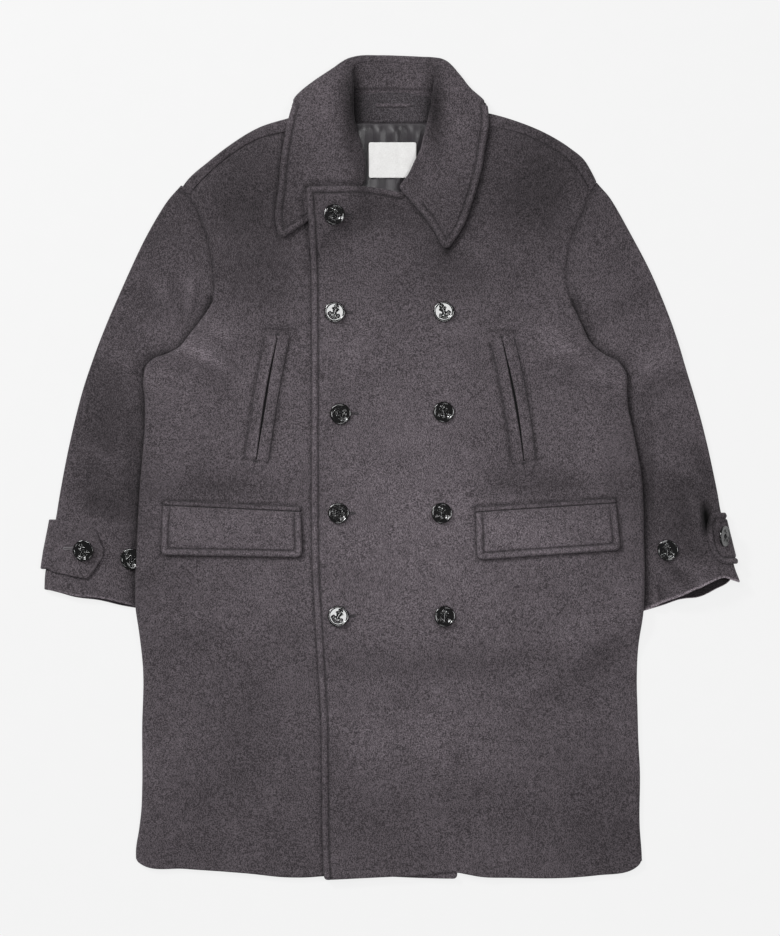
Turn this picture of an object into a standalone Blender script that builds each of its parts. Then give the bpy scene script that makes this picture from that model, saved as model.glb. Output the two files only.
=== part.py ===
"""A long double-breasted pea coat of heavy wool, buttoned and laid flat on its back.

Tables are in millimetres: x runs across the coat, "up" is the distance up from the lowest
point of the hem towards the collar, and z is the height above the surface the coat lies on.
"left" and "right" are as seen from above with the collar away from you, so the left piece is
on the wearer's right. The front on the right lies over the one on the left.
Every sheet of cloth is given by its middle surface and gets its wall from a Solidify modifier.
"""

import math

import bmesh
import bpy
from mathutils import Matrix, Vector
from mathutils.bvhtree import BVHTree

MM = 0.001

# Finishes: colour and roughness
WOOL = ((0.084, 0.073, 0.082), 0.92)
INNER_WOOL = ((0.05, 0.044, 0.05), 0.92)
SATIN = ((0.08, 0.07, 0.078), 0.45)
TAPE = ((0.85, 0.85, 0.86), 0.8)
RESIN = ((0.012, 0.012, 0.013), 0.18)

# Driving sizes
LENGTH = 1072.8  # hem to the top of the collar
MIDDLE_X = -1.4  # the x that lies over the origin
CLOTH = 2.6  # wall of the coat's wool
AIR = 2.2  # room between the back and the fronts
LAP_GAP = 0.9  # room between the two fronts where they overlap
COLLAR_WALL = 3.2
TURN_GAP = 0.8  # between a front's turned-down side and the back
NECK_GAP = 0.8  # between the back and what is sewn inside its neck
BUTTON_GAP = 0.9  # room under a button for its thread
LAID_GAP = 0.7  # room under a piece that lies on a panel
SHOULDER_ANGLES = (-90, -35, 35, 90)  # where the back's roll over the shoulder has a row
SHOULDER_RETURN = 9.8  # how far the back comes over the shoulder to its seam
SEAM_GAP = 0.8  # room between the body's armhole and the sleeve
FACING_WALL = 1.4
LINING_WALL = 1.0
FLAP_WALL = 2.8
LIP_WALL = 1.4
TAB_WALL = 3.0

BACK_MID = CLOTH / 2
FRONT_MID = CLOTH + AIR + CLOTH / 2
LAP_RISE = CLOTH + LAP_GAP  # how much higher the upper front lies on the lower one
SLEEVE_LIFT = FRONT_MID + CLOTH / 2 + 1.2  # the body's height where it lies on a sleeve
COLLAR_LIFT = COLLAR_WALL + 1.1  # the neck's height over the fall folded behind it

BUTTON_RADIUS = 13.5
BUTTON_PROFILE = ((10.9, 0.0), (13.2, 1.5), (13.5, 2.6), (12.4, 4.2), (11.3, 4.4), (9.3, 3.1))  # radius, height
BUTTON_STEPS = 18

# One row for each height of the side seams and armholes, from the hem to the shoulder tips.
# "turned" is 1 where the front's edge turns down to meet the back, 0 where a sleeve joins it.
SIDE_ROWS = (
    # left x, left up, right x, right up, turned
    (-332, 25, 327, 23, 1),
    (-325, 91, 324, 100, 1),
    (-324, 195, 321, 210, 1),
    (-325, 285, 322, 285, 1),
    (-332, 352, 329, 352, 1),
    (-331, 385, 330, 388, 1),
    (-330, 418, 330, 424, 1),
    (-329, 455, 329, 458, 1),
    (-327, 500, 328, 495, 1),
    (-323, 551, 320, 557, 1),
    (-320, 612, 307, 615, 1),
    (-320, 668, 305, 661, 1),
    (-290, 686, 288, 679, 1),
    (-263, 708, 260, 700, 1),
    (-250, 727, 247, 727, 1),
    (-233, 753, 236, 751, 0),
    (-230, 785, 230, 785, 0),
    (-236, 823, 233, 823, 0),
    (-250, 866, 249, 864, 0),
    (-254, 872, 252, 871, 0),
    (-266, 888, 262, 890, 0),
)
ARMHOLE_ROWS = (18, 17, 16, 15, 14)  # rows of the table above that the armhole takes
BACK_TIP_ROW = (-276, 900, 270, 903, 0)
FRONT_TIP_ROW = (-263, 892, 259, 896, 0)

# The back's top edge: shoulders and neck
BACK_TOP = (
    (-276, 900),
    (-238, 934),
    (-211, 955),
    (-171, 979),
    (-135, 990),
    (-90, 1002),
    (-66, 1017),
    (-41, 1025.5),
    (0, 1026.5),
    (54, 1025),
    (66, 1017),
    (90, 1002),
    (126, 997),
    (156, 989),
    (202, 971),
    (233, 952),
    (251, 937),
    (270, 903),
)
BACK_HEM = ((-332, 27), (-211, 13), (-87, 7), (90, 11), (230, 6), (327, 25))

# Share of the back's width at which each column of its cloth runs
BACK_COLUMNS = (0, 0.021, 0.043, 0.061, 0.083, 0.13, 0.19, 0.26, 0.341, 0.385, 0.43, 0.505, 0.57, 0.615)
BACK_COLUMNS += (0.67, 0.74, 0.81, 0.87, 0.917, 0.939, 0.957, 0.979, 1)
SHOULDER_SHARES = (0.341, 0.67)  # the neck lies between these two

# The edge of the front that lies on top, from hem to lapel
OVER_EDGE = ((-87, 0), (-89, 60), (-90, 143), (-95, 280), (-99, 348), (-102, 411), (-103, 520), (-103, 715))
OVER_EDGE += ((-104, 806), (-110, 901))
# The edge of the front beneath, hidden but for its corner at the hem
UNDER_EDGE = ((85, 1.5), (98, 300), (103, 715), (106, 897))
UNDER_HEM = ((-332, 25), (-323, 19), (-268, 14), (-211, 10), (-134, 3), (-87, 4.5), (20, 4.5), (85, 1.5))
OVER_HEM = ((-87, 0), (-4, 4), (86, 9.6), (114, 4.4), (156, 2.5), (230, 2.5), (269, 5.7), (315, 13.5))
OVER_HEM += ((327, 23),)

# Columns of the two fronts: share of the width, and where the column meets the top edge
UNDER_COLUMNS = (
    # share, top x, top up
    (0.034, -252, 902),
    (0.067, -243, 912),
    (0.096, -232, 923),
    (0.130, -220, 935),
    (0.200, -187, 956),
    (0.290, -139, 973),
    (0.385, -91, 988),
    (0.440, -88, 960),
    (0.495, -77, 930),
    (0.550, -62, 908),
    (0.610, -46, 897),
    (0.700, -12, 893),
    (0.850, 40, 896),
    (1.000, 106, 897),
)
OVER_COLUMNS = (
    (0.000, -110, 901),
    (0.030, -97, 901),
    (0.130, -72, 901),
    (0.230, -40, 901),
    (0.340, 12, 893.5),
    (0.420, 46, 901.5),
    (0.490, 71, 925),
    (0.550, 87, 955),
    (0.615, 91, 987),
    (0.700, 139, 973),
    (0.790, 187, 959),
    (0.870, 218, 941),
    (0.904, 229, 931),
    (0.933, 238, 921),
    (0.966, 249, 909),
)

# Where each sleeve ends out of sight beneath the body, from the armhole to the cuff
SLEEVE_REACH = (
    # up, left x, right x
    (345, -303, 299),
    (425, -302, 296),
    (505, -298, 290),
    (590, -295, 281),
    (625, -291, 275),
    (650, -284, 269),
    (672, -268, 260),
    (700, -256, 251),
    (727, -249, 246),
)
BACK_RAMP = 40.0  # the back comes down to the surface over this width
FRONT_RAMP = 110.0  # and the stiff fronts over this one
CUFF_RAMP = 60.0
BURIED_BUTTON = (-338, 417.5, 6.2)  # x, up and height of the spare button under the left side
BURIED_REACH = 48.0  # how far from that button the cloth comes down
BURIED_RAMP = 26.0
CREASE_TOP = 753.0  # where the body starts to lie over the sleeves
CREASE_FULL = 727.0
NECK_TAIL = (985.0, 130.0, 16.0)  # up of the fall's hidden edge in the middle, and its curve
NECK_RAMP = (45.0, 37.0)  # where below that edge the body starts to climb, and over what length
LAP_END = (112.0, 60.0)  # the x up to which the upper front lies on the lower one, and the ramp
# The end of the collar on the left: a point on it, the direction off it, how thick it lies
COLLAR_END = (-146, 836)
OFF_COLLAR_END = (0.537, -0.844)
COLLAR_END_RISE = 7.4
COLLAR_END_RAMP = (14.0, 40.0)
COLLAR_END_SIDE = (-20.0, 60.0)

# Sleeves: the outer and the hidden inner edge, one row for each ring from armhole to cuff
SLEEVE_RINGS = {
    "left": (
        # outer x, outer up, inner x, inner up
        (-276.8, 900, -255, 704),
        (-295, 877, -258, 694),
        (-322, 830, -264, 680),
        (-352, 765, -274, 664),
        (-375, 711, -284, 648),
        (-395, 656, -291, 628),
        (-410, 600, -295, 590),
        (-420, 559, -297, 550),
        (-430, 507, -298, 505),
        (-437, 465, -300, 465),
        (-445, 428, -302, 425),
        (-451, 398, -303, 390),
        (-450.5, 379, -303, 352),
    ),
    "right": (
        (270.8, 903, 250, 704),
        (290, 879, 251, 696),
        (314, 837, 255, 684),
        (340, 786, 262, 668),
        (366, 722, 269, 652),
        (385, 661, 275, 628),
        (400, 610, 281, 590),
        (413, 559, 286, 550),
        (423, 510, 290, 505),
        (429, 478, 293, 465),
        (438, 436, 296, 425),
        (446, 407, 298, 390),
        (452, 388, 299, 343),
    ),
}
# Cuff hems, from the outer edge to the body: the upper layer and the one beneath
CUFF_HEMS = {
    "left": (
        # x, up of the upper layer, x, up of the layer beneath
        (-450.5, 379, -450.5, 379),
        (-432, 376, -432, 375),
        (-413, 371, -413, 370),
        (-378, 367.5, -378, 365),
        (-349, 362, -349, 358),
        (-332, 358, -332, 355),
        (-303, 352, -303, 351),
    ),
    "right": (
        (452, 388, 453, 386),
        (435, 390, 429, 375),
        (413, 387, 408, 368),
        (385, 374.5, 385, 364),
        (354, 363, 354, 357),
        (330, 352, 330, 350),
        (299, 343, 299, 342),
    ),
}
CUFF_PUFF = {"left": 1.6, "right": 24.0}  # how far the cuff stands open
PUFF_REACH = 150.0  # how far up the sleeve that fades out
PUFF_WIDTH = 0.78  # share of the sleeve's width that it takes

# Collar: one row for each section, from the left front end round the neck to the right one.
# The stand runs from its foot to the roll, and the fall from the roll to its edge.
# A section that is folded behind the neck turns at "edge" and ends at "tail" on the surface.
COLLAR_ROWS = (
    # foot x, up, z, roll x, up, z, edge x, up, z, tail x, up (None: lies on top)
    (-42, 901, 8.2, -36, 906, 12.9, -146, 836, 10.2, None, None),
    (-58, 910.5, 7.5, -36, 925, 14.0, -150, 862, 10.2, None, None),
    (-75, 931, 7.0, -38, 943, 16.0, -146, 897, 10.2, None, None),
    (-86, 959, 8.0, -45, 965, 18.5, -142, 940, 10.4, None, None),
    (-86.5, 985, 9.6, -51, 985, 21.0, -135, 981, 13.6, None, None),
    (-84.5, 1001.5, 9.0, -53, 1003, 21.0, -131, 1003.5, 12.4, None, None),
    (-77, 1011.5, 8.3, -53, 1013, 20.5, -127, 1012, 12.0, -119, 1000),
    (-69, 1017.5, 7.5, -53, 1022, 20.0, -121, 1022, 13.0, -108, 991),
    (-61, 1021.5, 6.6, -53, 1036, 18.0, -105, 1037, 13.0, -92, 987),
    (-52, 1025, 5.8, -52, 1050, 15.0, -80, 1054, 12.0, -70, 986),
    (-42, 1027.8, 5.4, -47, 1061, 10.0, -56, 1069, 9.5, -48, 985),
    (-22, 1027.8, 5.3, -26, 1065, 7.2, -28, 1073, 7.0, -26, 985),
    (4, 1028, 5.3, 4, 1065, 7.0, 4, 1072.5, 7.0, 4, 985),
    (34, 1027.3, 5.3, 36, 1063, 7.2, 38, 1071, 7.0, 32, 985),
    (54, 1027.5, 5.4, 56, 1059, 10.0, 68, 1068, 9.5, 54, 985),
    (62, 1023.8, 5.8, 60, 1048, 15.0, 88, 1051, 12.0, 76, 986),
    (69, 1019, 6.6, 60, 1034, 18.0, 104, 1031, 13.0, 92, 987),
    (76, 1014, 7.5, 58, 1021, 20.0, 116, 1017, 13.0, 106, 991),
    (82, 1010, 8.3, 57, 1013, 20.5, 122, 1010, 12.5, 115, 998),
    (85, 1001.5, 9.4, 56, 1004, 21.0, 126, 1005.5, 12.4, None, None),
    (86, 990, 10.6, 54, 995, 21.0, 127, 988, 14.2, None, None),
    (87, 975, 10.6, 50, 980, 21.0, 126, 974, 13.0, None, None),
    (84, 956, 10.0, 46, 965, 20.0, 122, 950, 12.4, None, None),
    (76, 939, 10.0, 41, 946, 19.0, 117, 920, 12.6, None, None),
    (64, 921, 10.0, 33, 930, 18.0, 107, 885, 13.2, None, None),
    (44, 904.5, 10.0, 25, 914, 16.5, 95, 848, 13.6, None, None),
    (17, 896.8, 10.0, 13, 898, 15.0, 76, 818, 13.6, None, None),
)
FALL_SHARES = (0, 0.15, 0.3, 0.44, 0.55, 0.64, 0.73, 0.82, 0.9, 0.95, 1)  # of a fall that lies flat
FOLD_SHARES = (0.0, 0.39, 0.8)  # of a fall that turns down behind the neck
FALL_FOLD_REACH = 5.0
SHOULDER_UP = 1000.0  # above this the fall's edge keeps its own height over the shoulder
EDGE_DIP = 1.8
STAND_DROP = 4.0  # the stand ends this far under the fall where it lies beneath it
ROLL_GAP = 2.4  # and this far short of it where the two run on

# Soft ridges in the fronts where the cloth lies uneven: both ends, half width, height
FRONT_RIDGES = (
    # x, up, x, up, half width, height
    (300, 352, 205, 250, 60, 2.2),
    (-300, 110, -240, 240, 80, 2.0),
    (-255, 640, -185, 700, 60, 1.8),
    (235, 690, 175, 650, 60, 1.8),
    (-20, 170, 150, 160, 80, 1.6),
)

# Flap pockets: corners of the flap as (x, up), top outer, top inner, bottom inner, bottom outer
FLAPS = {
    "left": ((-296, 486.5), (-117, 478), (-115, 419), (-298, 423)),
    "right": ((110, 477.5), (292, 489.5), (298, 429), (112, 416)),
}
FLAP_CORNER = 9.0
JET_HEIGHT = 6.0  # the strip that shows above each flap
JET_GAP = 0.6

# Slanted hand pockets: top and bottom of the slit, and each lip's width
SLITS = {
    "left": ((-148, 704), (-175, 547)),
    "right": ((145, 701), (173, 545)),
}
LIP_WIDTH = 16.0
SLIT_WIDTH = 1.6
LIP_POINT = 10.0  # how far the lips run on past the slit's ends

# Inside the neck, from low to high: left x, right x, up, how far the middle stands up
LINING_EDGES = ((-48, 50, 880, 0), (-57, 60, 922, 0), (-75, 75, 941, 0), (-79, 79, 956, 0), (-81, 81, 970, 0))
LINING_EDGES += ((-82, 82, 984, 0),)
FACING_EDGES = ((-81, 81, 985.5, 0), (-77, 77, 1000, 3), (-66, 65, 1012, 11))
SEWN_GAP = 0.6  # room under the loop and the label
LOOP_WALL = 1.2
LABEL_WALL = 1.0
LOOP = (-20, 26, 1007, 4.5)  # x from, x to, middle up, height
LABEL = (-29, 33, 912.6, 959)  # x from, x to, up from, up to

FRONT_BUTTONS = {
    "button_top": (-73.6, 864),
    "button_left_1": (-73, 738),
    "button_right_1": (68.6, 738.7),
    "button_left_2": (-65.7, 606),
    "button_right_2": (68.3, 608.5),
    "button_left_3": (-68.3, 477),
    "button_right_3": (65.7, 477),
    "button_left_4": (-68.5, 343),
    "button_right_4": (69.7, 343),
}

# Cuff straps: points of the outline on top of the cuff, from the fold to the point
TAB_FOLD = {"left": (469, 404), "right": (478, 411)}  # up of its two sides on the fold
TABS = {
    "left": (
        # x, up of the upper side, x, up of the lower side
        (-430, 467.5, -438, 400),
        (-414, 465.5, -422, 396.5),
        (-397, 463, -410, 394.5),
        (-383, 455, -393, 397.5),
        (-374, 431, -376, 420),
    ),
    "right": (
        (417.5, 475, 424.5, 414),
        (414, 462, 417.5, 424),
        (412.5, 452, 413.5, 438),
    ),
}
TAB_ANGLES = (-20, 5, 30, 55, 78)  # rows of the strap on the sleeve's outer fold
FOLD_REACH = 11.0  # how far the outer fold of a sleeve reaches at most
TAB_GAP = 2.0  # room between a cuff and its strap
LEANING_GAP = 3.2  # room under the button on the fold, whose strap is curved
CUFF_BUTTONS = {
    # name: (side, x, up, angle on the outer fold or None, lean in degrees)
    "button_cuff_left": ("left", -399, 428.5, None, -8),
    "button_cuff_left_spare": ("left", -338, 417.5, None, 0),
    "button_cuff_right": ("right", 430, 446, 52, 40),
    "button_cuff_right_spare": ("right", 359, 429, None, -10),
}


def smooth(share):
    """Goes from 0 to 1 with level ends as the share does."""
    share = min(1.0, max(0.0, share))
    return share * share * (3 - 2 * share)


def along(points, key, at):
    """The point of a polyline where its coordinate number key reaches a value."""
    for first, last in zip(points, points[1:]):
        low, high = first[key], last[key]
        if (at - low) * (at - high) <= 0 and low != high:
            share = (at - low) / (high - low)
            return tuple(a + (b - a) * share for a, b in zip(first, last))
    return points[0] if abs(at - points[0][key]) < abs(at - points[-1][key]) else points[-1]


def sleeve_lift(x, up, ramp):
    """How far a sleeve beneath it lifts the body."""
    reach = along(SLEEVE_REACH, 0, up)
    inside = reach[1] - x if x < 0 else x - reach[2]
    across = smooth((inside + ramp) / ramp)
    lower = smooth((up - (SLEEVE_REACH[0][0] - CUFF_RAMP)) / CUFF_RAMP)
    upper = smooth((CREASE_TOP - up) / (CREASE_TOP - CREASE_FULL))
    return SLEEVE_LIFT * across * lower * upper


def collar_lift(x, up):
    """How far the fall behind the neck lifts the body."""
    middle, half, curve = NECK_TAIL
    below, ramp = NECK_RAMP
    return COLLAR_LIFT * smooth((up - middle - curve * (x / half) ** 2 + below) / ramp)


def button_lift(x, up):
    """How far the left cuff's spare button lifts the body's edge that lies on it."""
    far = math.hypot(x - BURIED_BUTTON[0], up - BURIED_BUTTON[1])
    return BURIED_BUTTON[2] * smooth((BURIED_REACH - far) / BURIED_RAMP)


def back_lift(x, up):
    return sleeve_lift(x, up, BACK_RAMP) + collar_lift(x, up) + button_lift(x, up)


def front_lift(x, up):
    return sleeve_lift(x, up, FRONT_RAMP) + collar_lift(x, up) + button_lift(x, up)


def ridges(x, up):
    """Height of the soft ridges at a place on the fronts."""
    total = 0.0
    for x1, up1, x2, up2, half, height in FRONT_RIDGES:
        run = Vector((x2 - x1, up2 - up1))
        share = min(1.0, max(0.0, Vector((x - x1, up - up1)).dot(run) / run.length_squared))
        far = (Vector((x, up)) - Vector((x1, up1)) - run * share).length
        total += height * smooth(1 - far / half)
    return total


def under_mid(x, up):
    """Middle surface of a front that lies straight on the back."""
    return FRONT_MID + front_lift(x, up) + ridges(x, up)


def over_mid(x, up):
    """Middle surface of the upper front, which climbs over the lower one and the collar's end."""
    on_lap = 1 - smooth((x - LAP_END[0]) / LAP_END[1])
    past = (x - COLLAR_END[0]) * OFF_COLLAR_END[0] + (up - COLLAR_END[1]) * OFF_COLLAR_END[1]
    near_end = 1 - smooth((past - COLLAR_END_RAMP[0]) / COLLAR_END_RAMP[1])
    near_side = 1 - smooth((x - COLLAR_END_SIDE[0]) / COLLAR_END_SIDE[1])
    return under_mid(x, up) + LAP_RISE * on_lap + COLLAR_END_RISE * near_end * near_side


def coons(left, right, bottom, top, across, height):
    """A point of the patch between four edges: left and right points, and edge polylines."""
    first, last = bottom[0][-2:], bottom[-1][-2:]
    top_first, top_last = top[0][-2:], top[-1][-2:]
    low = along_share(bottom, across)
    high = along_share(top, across)
    place = []
    for k in range(2):
        sides = left[k] * (1 - across) + right[k] * across
        dip = low[k] - (first[k] * (1 - across) + last[k] * across)
        rise = high[k] - (top_first[k] * (1 - across) + top_last[k] * across)
        place.append(sides + dip * (1 - height) ** 2 + rise * height**4)
    return tuple(place)


def along_share(points, share):
    """A place on an edge given as (x, up) by its share of x, or as (share, x, up)."""
    if len(points[0]) == 3:
        return along(points, 0, share)[1:]
    return along(points, 0, points[0][0] + (points[-1][0] - points[0][0]) * share)


def outward(before, after, sign):
    """The level direction out of an edge at the place between two others."""
    run = Vector((after[0] - before[0], after[1] - before[1])).normalized()
    return Vector((run.y, -run.x)) * sign


def material(name, colour, roughness):
    made = bpy.data.materials.new(name)
    made.use_nodes = True
    shader = made.node_tree.nodes["Principled BSDF"]
    shader.inputs["Base Color"].default_value = (*colour, 1)
    shader.inputs["Roughness"].default_value = roughness
    return made


def in_place(x, up, z):
    """Metres in the coat's frame from the tables' millimetres."""
    return Vector(((x - MIDDLE_X) * MM, (up - LENGTH / 2) * MM, z * MM))


def sheet(name, rows, wall, finish, ring=False):
    """Cloth of an even wall on a grid of middle points; None leaves a cell out."""
    mesh = bmesh.new()
    verts = [[mesh.verts.new(in_place(*p)) if p else None for p in row] for row in rows]
    for low, high in zip(verts, verts[1:]):
        count = len(low) if ring else len(low) - 1
        for k in range(count):
            corners = (low[k], low[(k + 1) % len(low)], high[(k + 1) % len(low)], high[k])
            if all(corners):
                mesh.faces.new(corners)
    bmesh.ops.recalc_face_normals(mesh, faces=mesh.faces)
    data = bpy.data.meshes.new(name)
    mesh.to_mesh(data)
    mesh.free()
    data.materials.append(material(name, *finish))
    made = bpy.data.objects.new(name, data)
    bpy.context.collection.objects.link(made)
    solid = made.modifiers.new("wall", "SOLIDIFY")
    solid.thickness = wall * MM
    solid.offset = 0
    return made


def top_of(*pieces):
    """Height of the upper face of some pieces at a place, or None beside them."""
    graph = bpy.context.evaluated_depsgraph_get()
    trees = [BVHTree.FromObject(piece, graph) for piece in pieces]

    def height(x, up):
        hits = [tree.ray_cast(in_place(x, up, 200), Vector((0, 0, -1)))[0] for tree in trees]
        return max((hit.z / MM for hit in hits if hit), default=None)

    return height


def shoulder_fold(place, out, z):
    """Points where the back rolls over the shoulder to the seam on the front."""
    radius = (FRONT_MID - BACK_MID) / 2
    inset = radius + CLOTH / 2
    points = []
    for angle in SHOULDER_ANGLES:
        turn = math.radians(angle)
        reach = -inset + radius * math.cos(turn)
        spot = Vector(place) + out * reach
        points.append((spot.x, spot.y, z + BACK_MID + radius + radius * math.sin(turn)))
    seam = Vector(place) - out * SHOULDER_RETURN
    points.append((seam.x, seam.y, z + FRONT_MID))
    return points


def make_back(finish):
    rows = SIDE_ROWS + (BACK_TIP_ROW,)
    hem_up = rows[0][1] + rows[0][3]
    tip_up = rows[-1][1] + rows[-1][3]
    grid = []
    for row in rows:
        height = (row[1] + row[3] - hem_up) / (tip_up - hem_up)
        line = []
        for share in BACK_COLUMNS:
            x, up = coons(row[:2], row[2:4], BACK_HEM, BACK_TOP, share, height)
            line.append((x, up, BACK_MID + back_lift(x, up)))
        grid.append(line)
    edge = grid.pop()
    columns = []
    for k, (x, up, z) in enumerate(edge):
        if SHOULDER_SHARES[0] < BACK_COLUMNS[k] < SHOULDER_SHARES[1]:
            columns.append([(x, up, z)] + [None] * len(SHOULDER_ANGLES))
            continue
        out = outward(edge[max(0, k - 1)], edge[min(len(edge) - 1, k + 1)], -1)
        columns.append(shoulder_fold((x, up), out, back_lift(x, up)))
    return sheet("back", grid + list(zip(*columns)), CLOTH, finish)


def side_turn(line, out, turned, level):
    """Adds the columns where a front turns down over the side, or runs on to the armhole."""
    radius = FRONT_MID - CLOTH - TURN_GAP
    start = Vector(line[-1][:2]) + out * -(radius + CLOTH / 2)
    line[-1] = (start.x, start.y, level(start.x, start.y))
    run_on = radius + CLOTH / 2 - SEAM_GAP / 2
    for angle in (30, 60, 90):
        turn = math.radians(angle)
        reach = radius * math.sin(turn) if turned else run_on * angle / 90
        spot = start + out * reach
        drop = radius * (1 - math.cos(turn)) if turned else 0
        line.append((spot.x, spot.y, level(spot.x, spot.y) - drop))


def make_front(name, finish, columns, hem, edge, level, left_side):
    """A front between its side seam and its own front edge; columns run from side to edge."""
    rows = SIDE_ROWS + (FRONT_TIP_ROW,)
    side = [(row[0], row[1]) if left_side else (row[2], row[3]) for row in rows]
    top = [(0.0, *side[-1])] + [(share, x, up) for share, x, up in columns]
    grid = []
    for k, (row, place) in enumerate(zip(rows, side)):
        height = (place[1] - side[0][1]) / (side[-1][1] - side[0][1])
        edge_place = along(edge, 1, edge[0][1] + (edge[-1][1] - edge[0][1]) * height)
        before, after = side[max(0, k - 1)], side[min(len(side) - 1, k + 1)]
        out = outward(before, after, -1 if left_side else 1)
        line = []
        for share in reversed([0.0] + [column[0] for column in columns]):
            x, up = coons(place, edge_place, hem, top, share, height)
            line.append((x, up, level(x, up)))
        side_turn(line, out, row[4], level)
        grid.append(line)
    return sheet(name, grid, CLOTH, finish)


def sleeve_place(side, across, ring):
    """Plan of the sleeve's middle: columns from the outer edge inwards, rings from the armhole."""
    rings = SLEEVE_RINGS[side]
    outer_x, outer_up, inner_x, inner_up = rings[ring]
    shift = -SEAM_GAP if side == "left" else SEAM_GAP
    arm_rows = (BACK_TIP_ROW, *(SIDE_ROWS[k] for k in ARMHOLE_ROWS))
    first = 0 if side == "left" else 2
    armhole = [(row[first] + shift, row[first + 1]) for row in arm_rows] + [rings[0][2:]]
    height = ring / (len(rings) - 1)
    spots = []
    for layer in (0, 2):
        hem = [row[layer : layer + 2] for row in CUFF_HEMS[side]]
        spot = []
        for k in range(2):
            share = across / (len(hem) - 1)
            sides = (outer_x, outer_up)[k] * (1 - share) + (inner_x, inner_up)[k] * share
            top = armhole[across][k] - (armhole[0][k] * (1 - share) + armhole[-1][k] * share)
            low = hem[across][k] - (hem[0][k] * (1 - share) + hem[-1][k] * share)
            spot.append(sides + top * (1 - height) ** 1.4 + low * height**1.4)
        spots.append(tuple(spot))
    return spots


def cuff_puff(side, share, x, up):
    """How far the upper layer of a sleeve stands off near its open cuff."""
    near = smooth(1 - (up - 365) / PUFF_REACH)
    bow = max(0.0, math.sin(math.pi * (0.3 + 0.7 * min(share / PUFF_WIDTH, 1))))
    return CUFF_PUFF[side] * near * bow**1.5


def make_sleeve(side, finish):
    sign = -1 if side == "left" else 1
    rings = SLEEVE_RINGS[side]
    columns = len(CUFF_HEMS[side])
    grid = []
    for ring in range(len(rings)):
        upper, lower = [], []
        for across in range(columns):
            spots = sleeve_place(side, across, ring)
            share = across / (columns - 1)
            rise = FRONT_MID + cuff_puff(side, share, *spots[0])
            upper.append((*spots[0], rise))
            lower.append((*spots[1], BACK_MID))
        line = []
        for edge, inner, turn in ((0, 1, 1), (-1, -2, -1)):
            top, base = upper[edge], lower[edge]
            radius = (top[2] - base[2]) / 2
            out = (Vector(top[:2]) - Vector(upper[inner][:2])).normalized()
            reach = min(radius, FOLD_REACH)
            inset = reach + CLOTH / 2
            start = Vector(top[:2]) - out * inset
            base_start = Vector(base[:2]) - out * inset
            upper[edge] = (start.x, start.y, top[2])
            lower[edge] = (base_start.x, base_start.y, base[2])
            arc = []
            for angle in (50, 0, -50):
                lean = math.radians(angle)
                mix = 0.5 + 0.5 * math.sin(lean)
                spot = base_start.lerp(start, mix) + out * reach * math.cos(lean)
                arc.append((spot.x, spot.y, base[2] + radius + radius * math.sin(lean)))
            line.append(arc)
        grid.append(lower[::-1] + line[0][::-1] + upper + line[1])
    return sheet(f"sleeve_{side}", grid, CLOTH, finish, ring=True)


def fall_section(row, top):
    """Middle points of one section of the collar's fall, from the roll to its edge."""
    roll = Vector(row[3:6])
    edge = Vector(row[6:9])
    if row[9] is None:
        points = [roll.lerp(edge, share) for share in FALL_SHARES]
        for point in points:
            below = top(point.x, point.y) or 0
            point.z = max(point.z, below + LAID_GAP + COLLAR_WALL / 2)
        if edge.y > SHOULDER_UP:
            points[-1].z = edge.z
            points[-2].z = min(points[-2].z, edge.z + EDGE_DIP)
        return points
    radius = (edge.z - COLLAR_WALL / 2) / 2
    plan = Vector((row[9] - edge.x, row[10] - edge.y))
    away = -plan.normalized()
    reach = min(radius, FALL_FOLD_REACH)
    centre = Vector((edge.x, edge.y)) - away * (reach + COLLAR_WALL / 2)
    start = Vector((centre.x, centre.y, edge.z))
    points = [roll.lerp(start, share) for share in FOLD_SHARES] + [start]
    for angle in (54, 18, -18, -54):
        lean = math.radians(angle)
        spot = centre + away * reach * math.cos(lean)
        points.append(Vector((spot.x, spot.y, COLLAR_WALL / 2 + radius + radius * math.sin(lean))))
    foot = Vector((centre.x, centre.y, COLLAR_WALL / 2))
    tail = Vector((row[9], row[10], COLLAR_WALL / 2))
    points += [foot, foot.lerp(tail, 0.5), tail]
    return points


def make_collar(finish, left_top, right_top):
    fall, stand = [], []
    for row in COLLAR_ROWS:
        top = left_top if row[0] < 0 else right_top
        fall.append([tuple(point) for point in fall_section(row, top)])
        foot, roll = Vector(row[0:3]), Vector(row[3:6])
        inwards = Vector((6 - roll.x, 1030 - roll.y, 0)).normalized()
        short = ROLL_GAP * smooth((roll.y - 1018) / 18)
        drop = STAND_DROP * (1 - smooth((roll.y - 1036) / 24))
        top = roll + inwards * short - Vector((0, 0, drop))
        stand.append([tuple(foot.lerp(top, share)) for share in (0, 0.34, 0.67, 1)])
    sheet("collar_fall", fall, COLLAR_WALL, finish)
    sheet("collar_stand", stand, COLLAR_WALL, finish)


def laid_patch(name, corners, top, wall, finish, counts=(5, 2), rounding=0.0):
    """A flat piece with four corners, laid on a panel and following it."""
    top_left, top_right, low_right, low_left = (Vector(corner) for corner in corners)
    ends = (0, 0.15, 0.5, 1.0)
    width = (top_right - top_left).length
    shares = [k / counts[0] for k in range(counts[0] + 1)]
    if rounding:
        near = [rounding / width * end for end in ends]
        shares = near + shares[1:-1] + [1 - share for share in reversed(near)]
    grid = []
    for row in range(counts[1] + 1):
        height = row / counts[1]
        line = []
        for share in shares:
            spot = low_left.lerp(low_right, share).lerp(top_left.lerp(top_right, share), height)
            if rounding:
                near = min(share, 1 - share) * width
                if near < rounding:
                    bite = rounding - math.sqrt(rounding**2 - (rounding - near) ** 2)
                    spot += (top_left - low_left).normalized() * bite * (1 - height)
            line.append((spot.x, spot.y, top(spot.x, spot.y) + LAID_GAP + wall / 2))
        grid.append(line)
    return sheet(name, grid, wall, finish)


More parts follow.
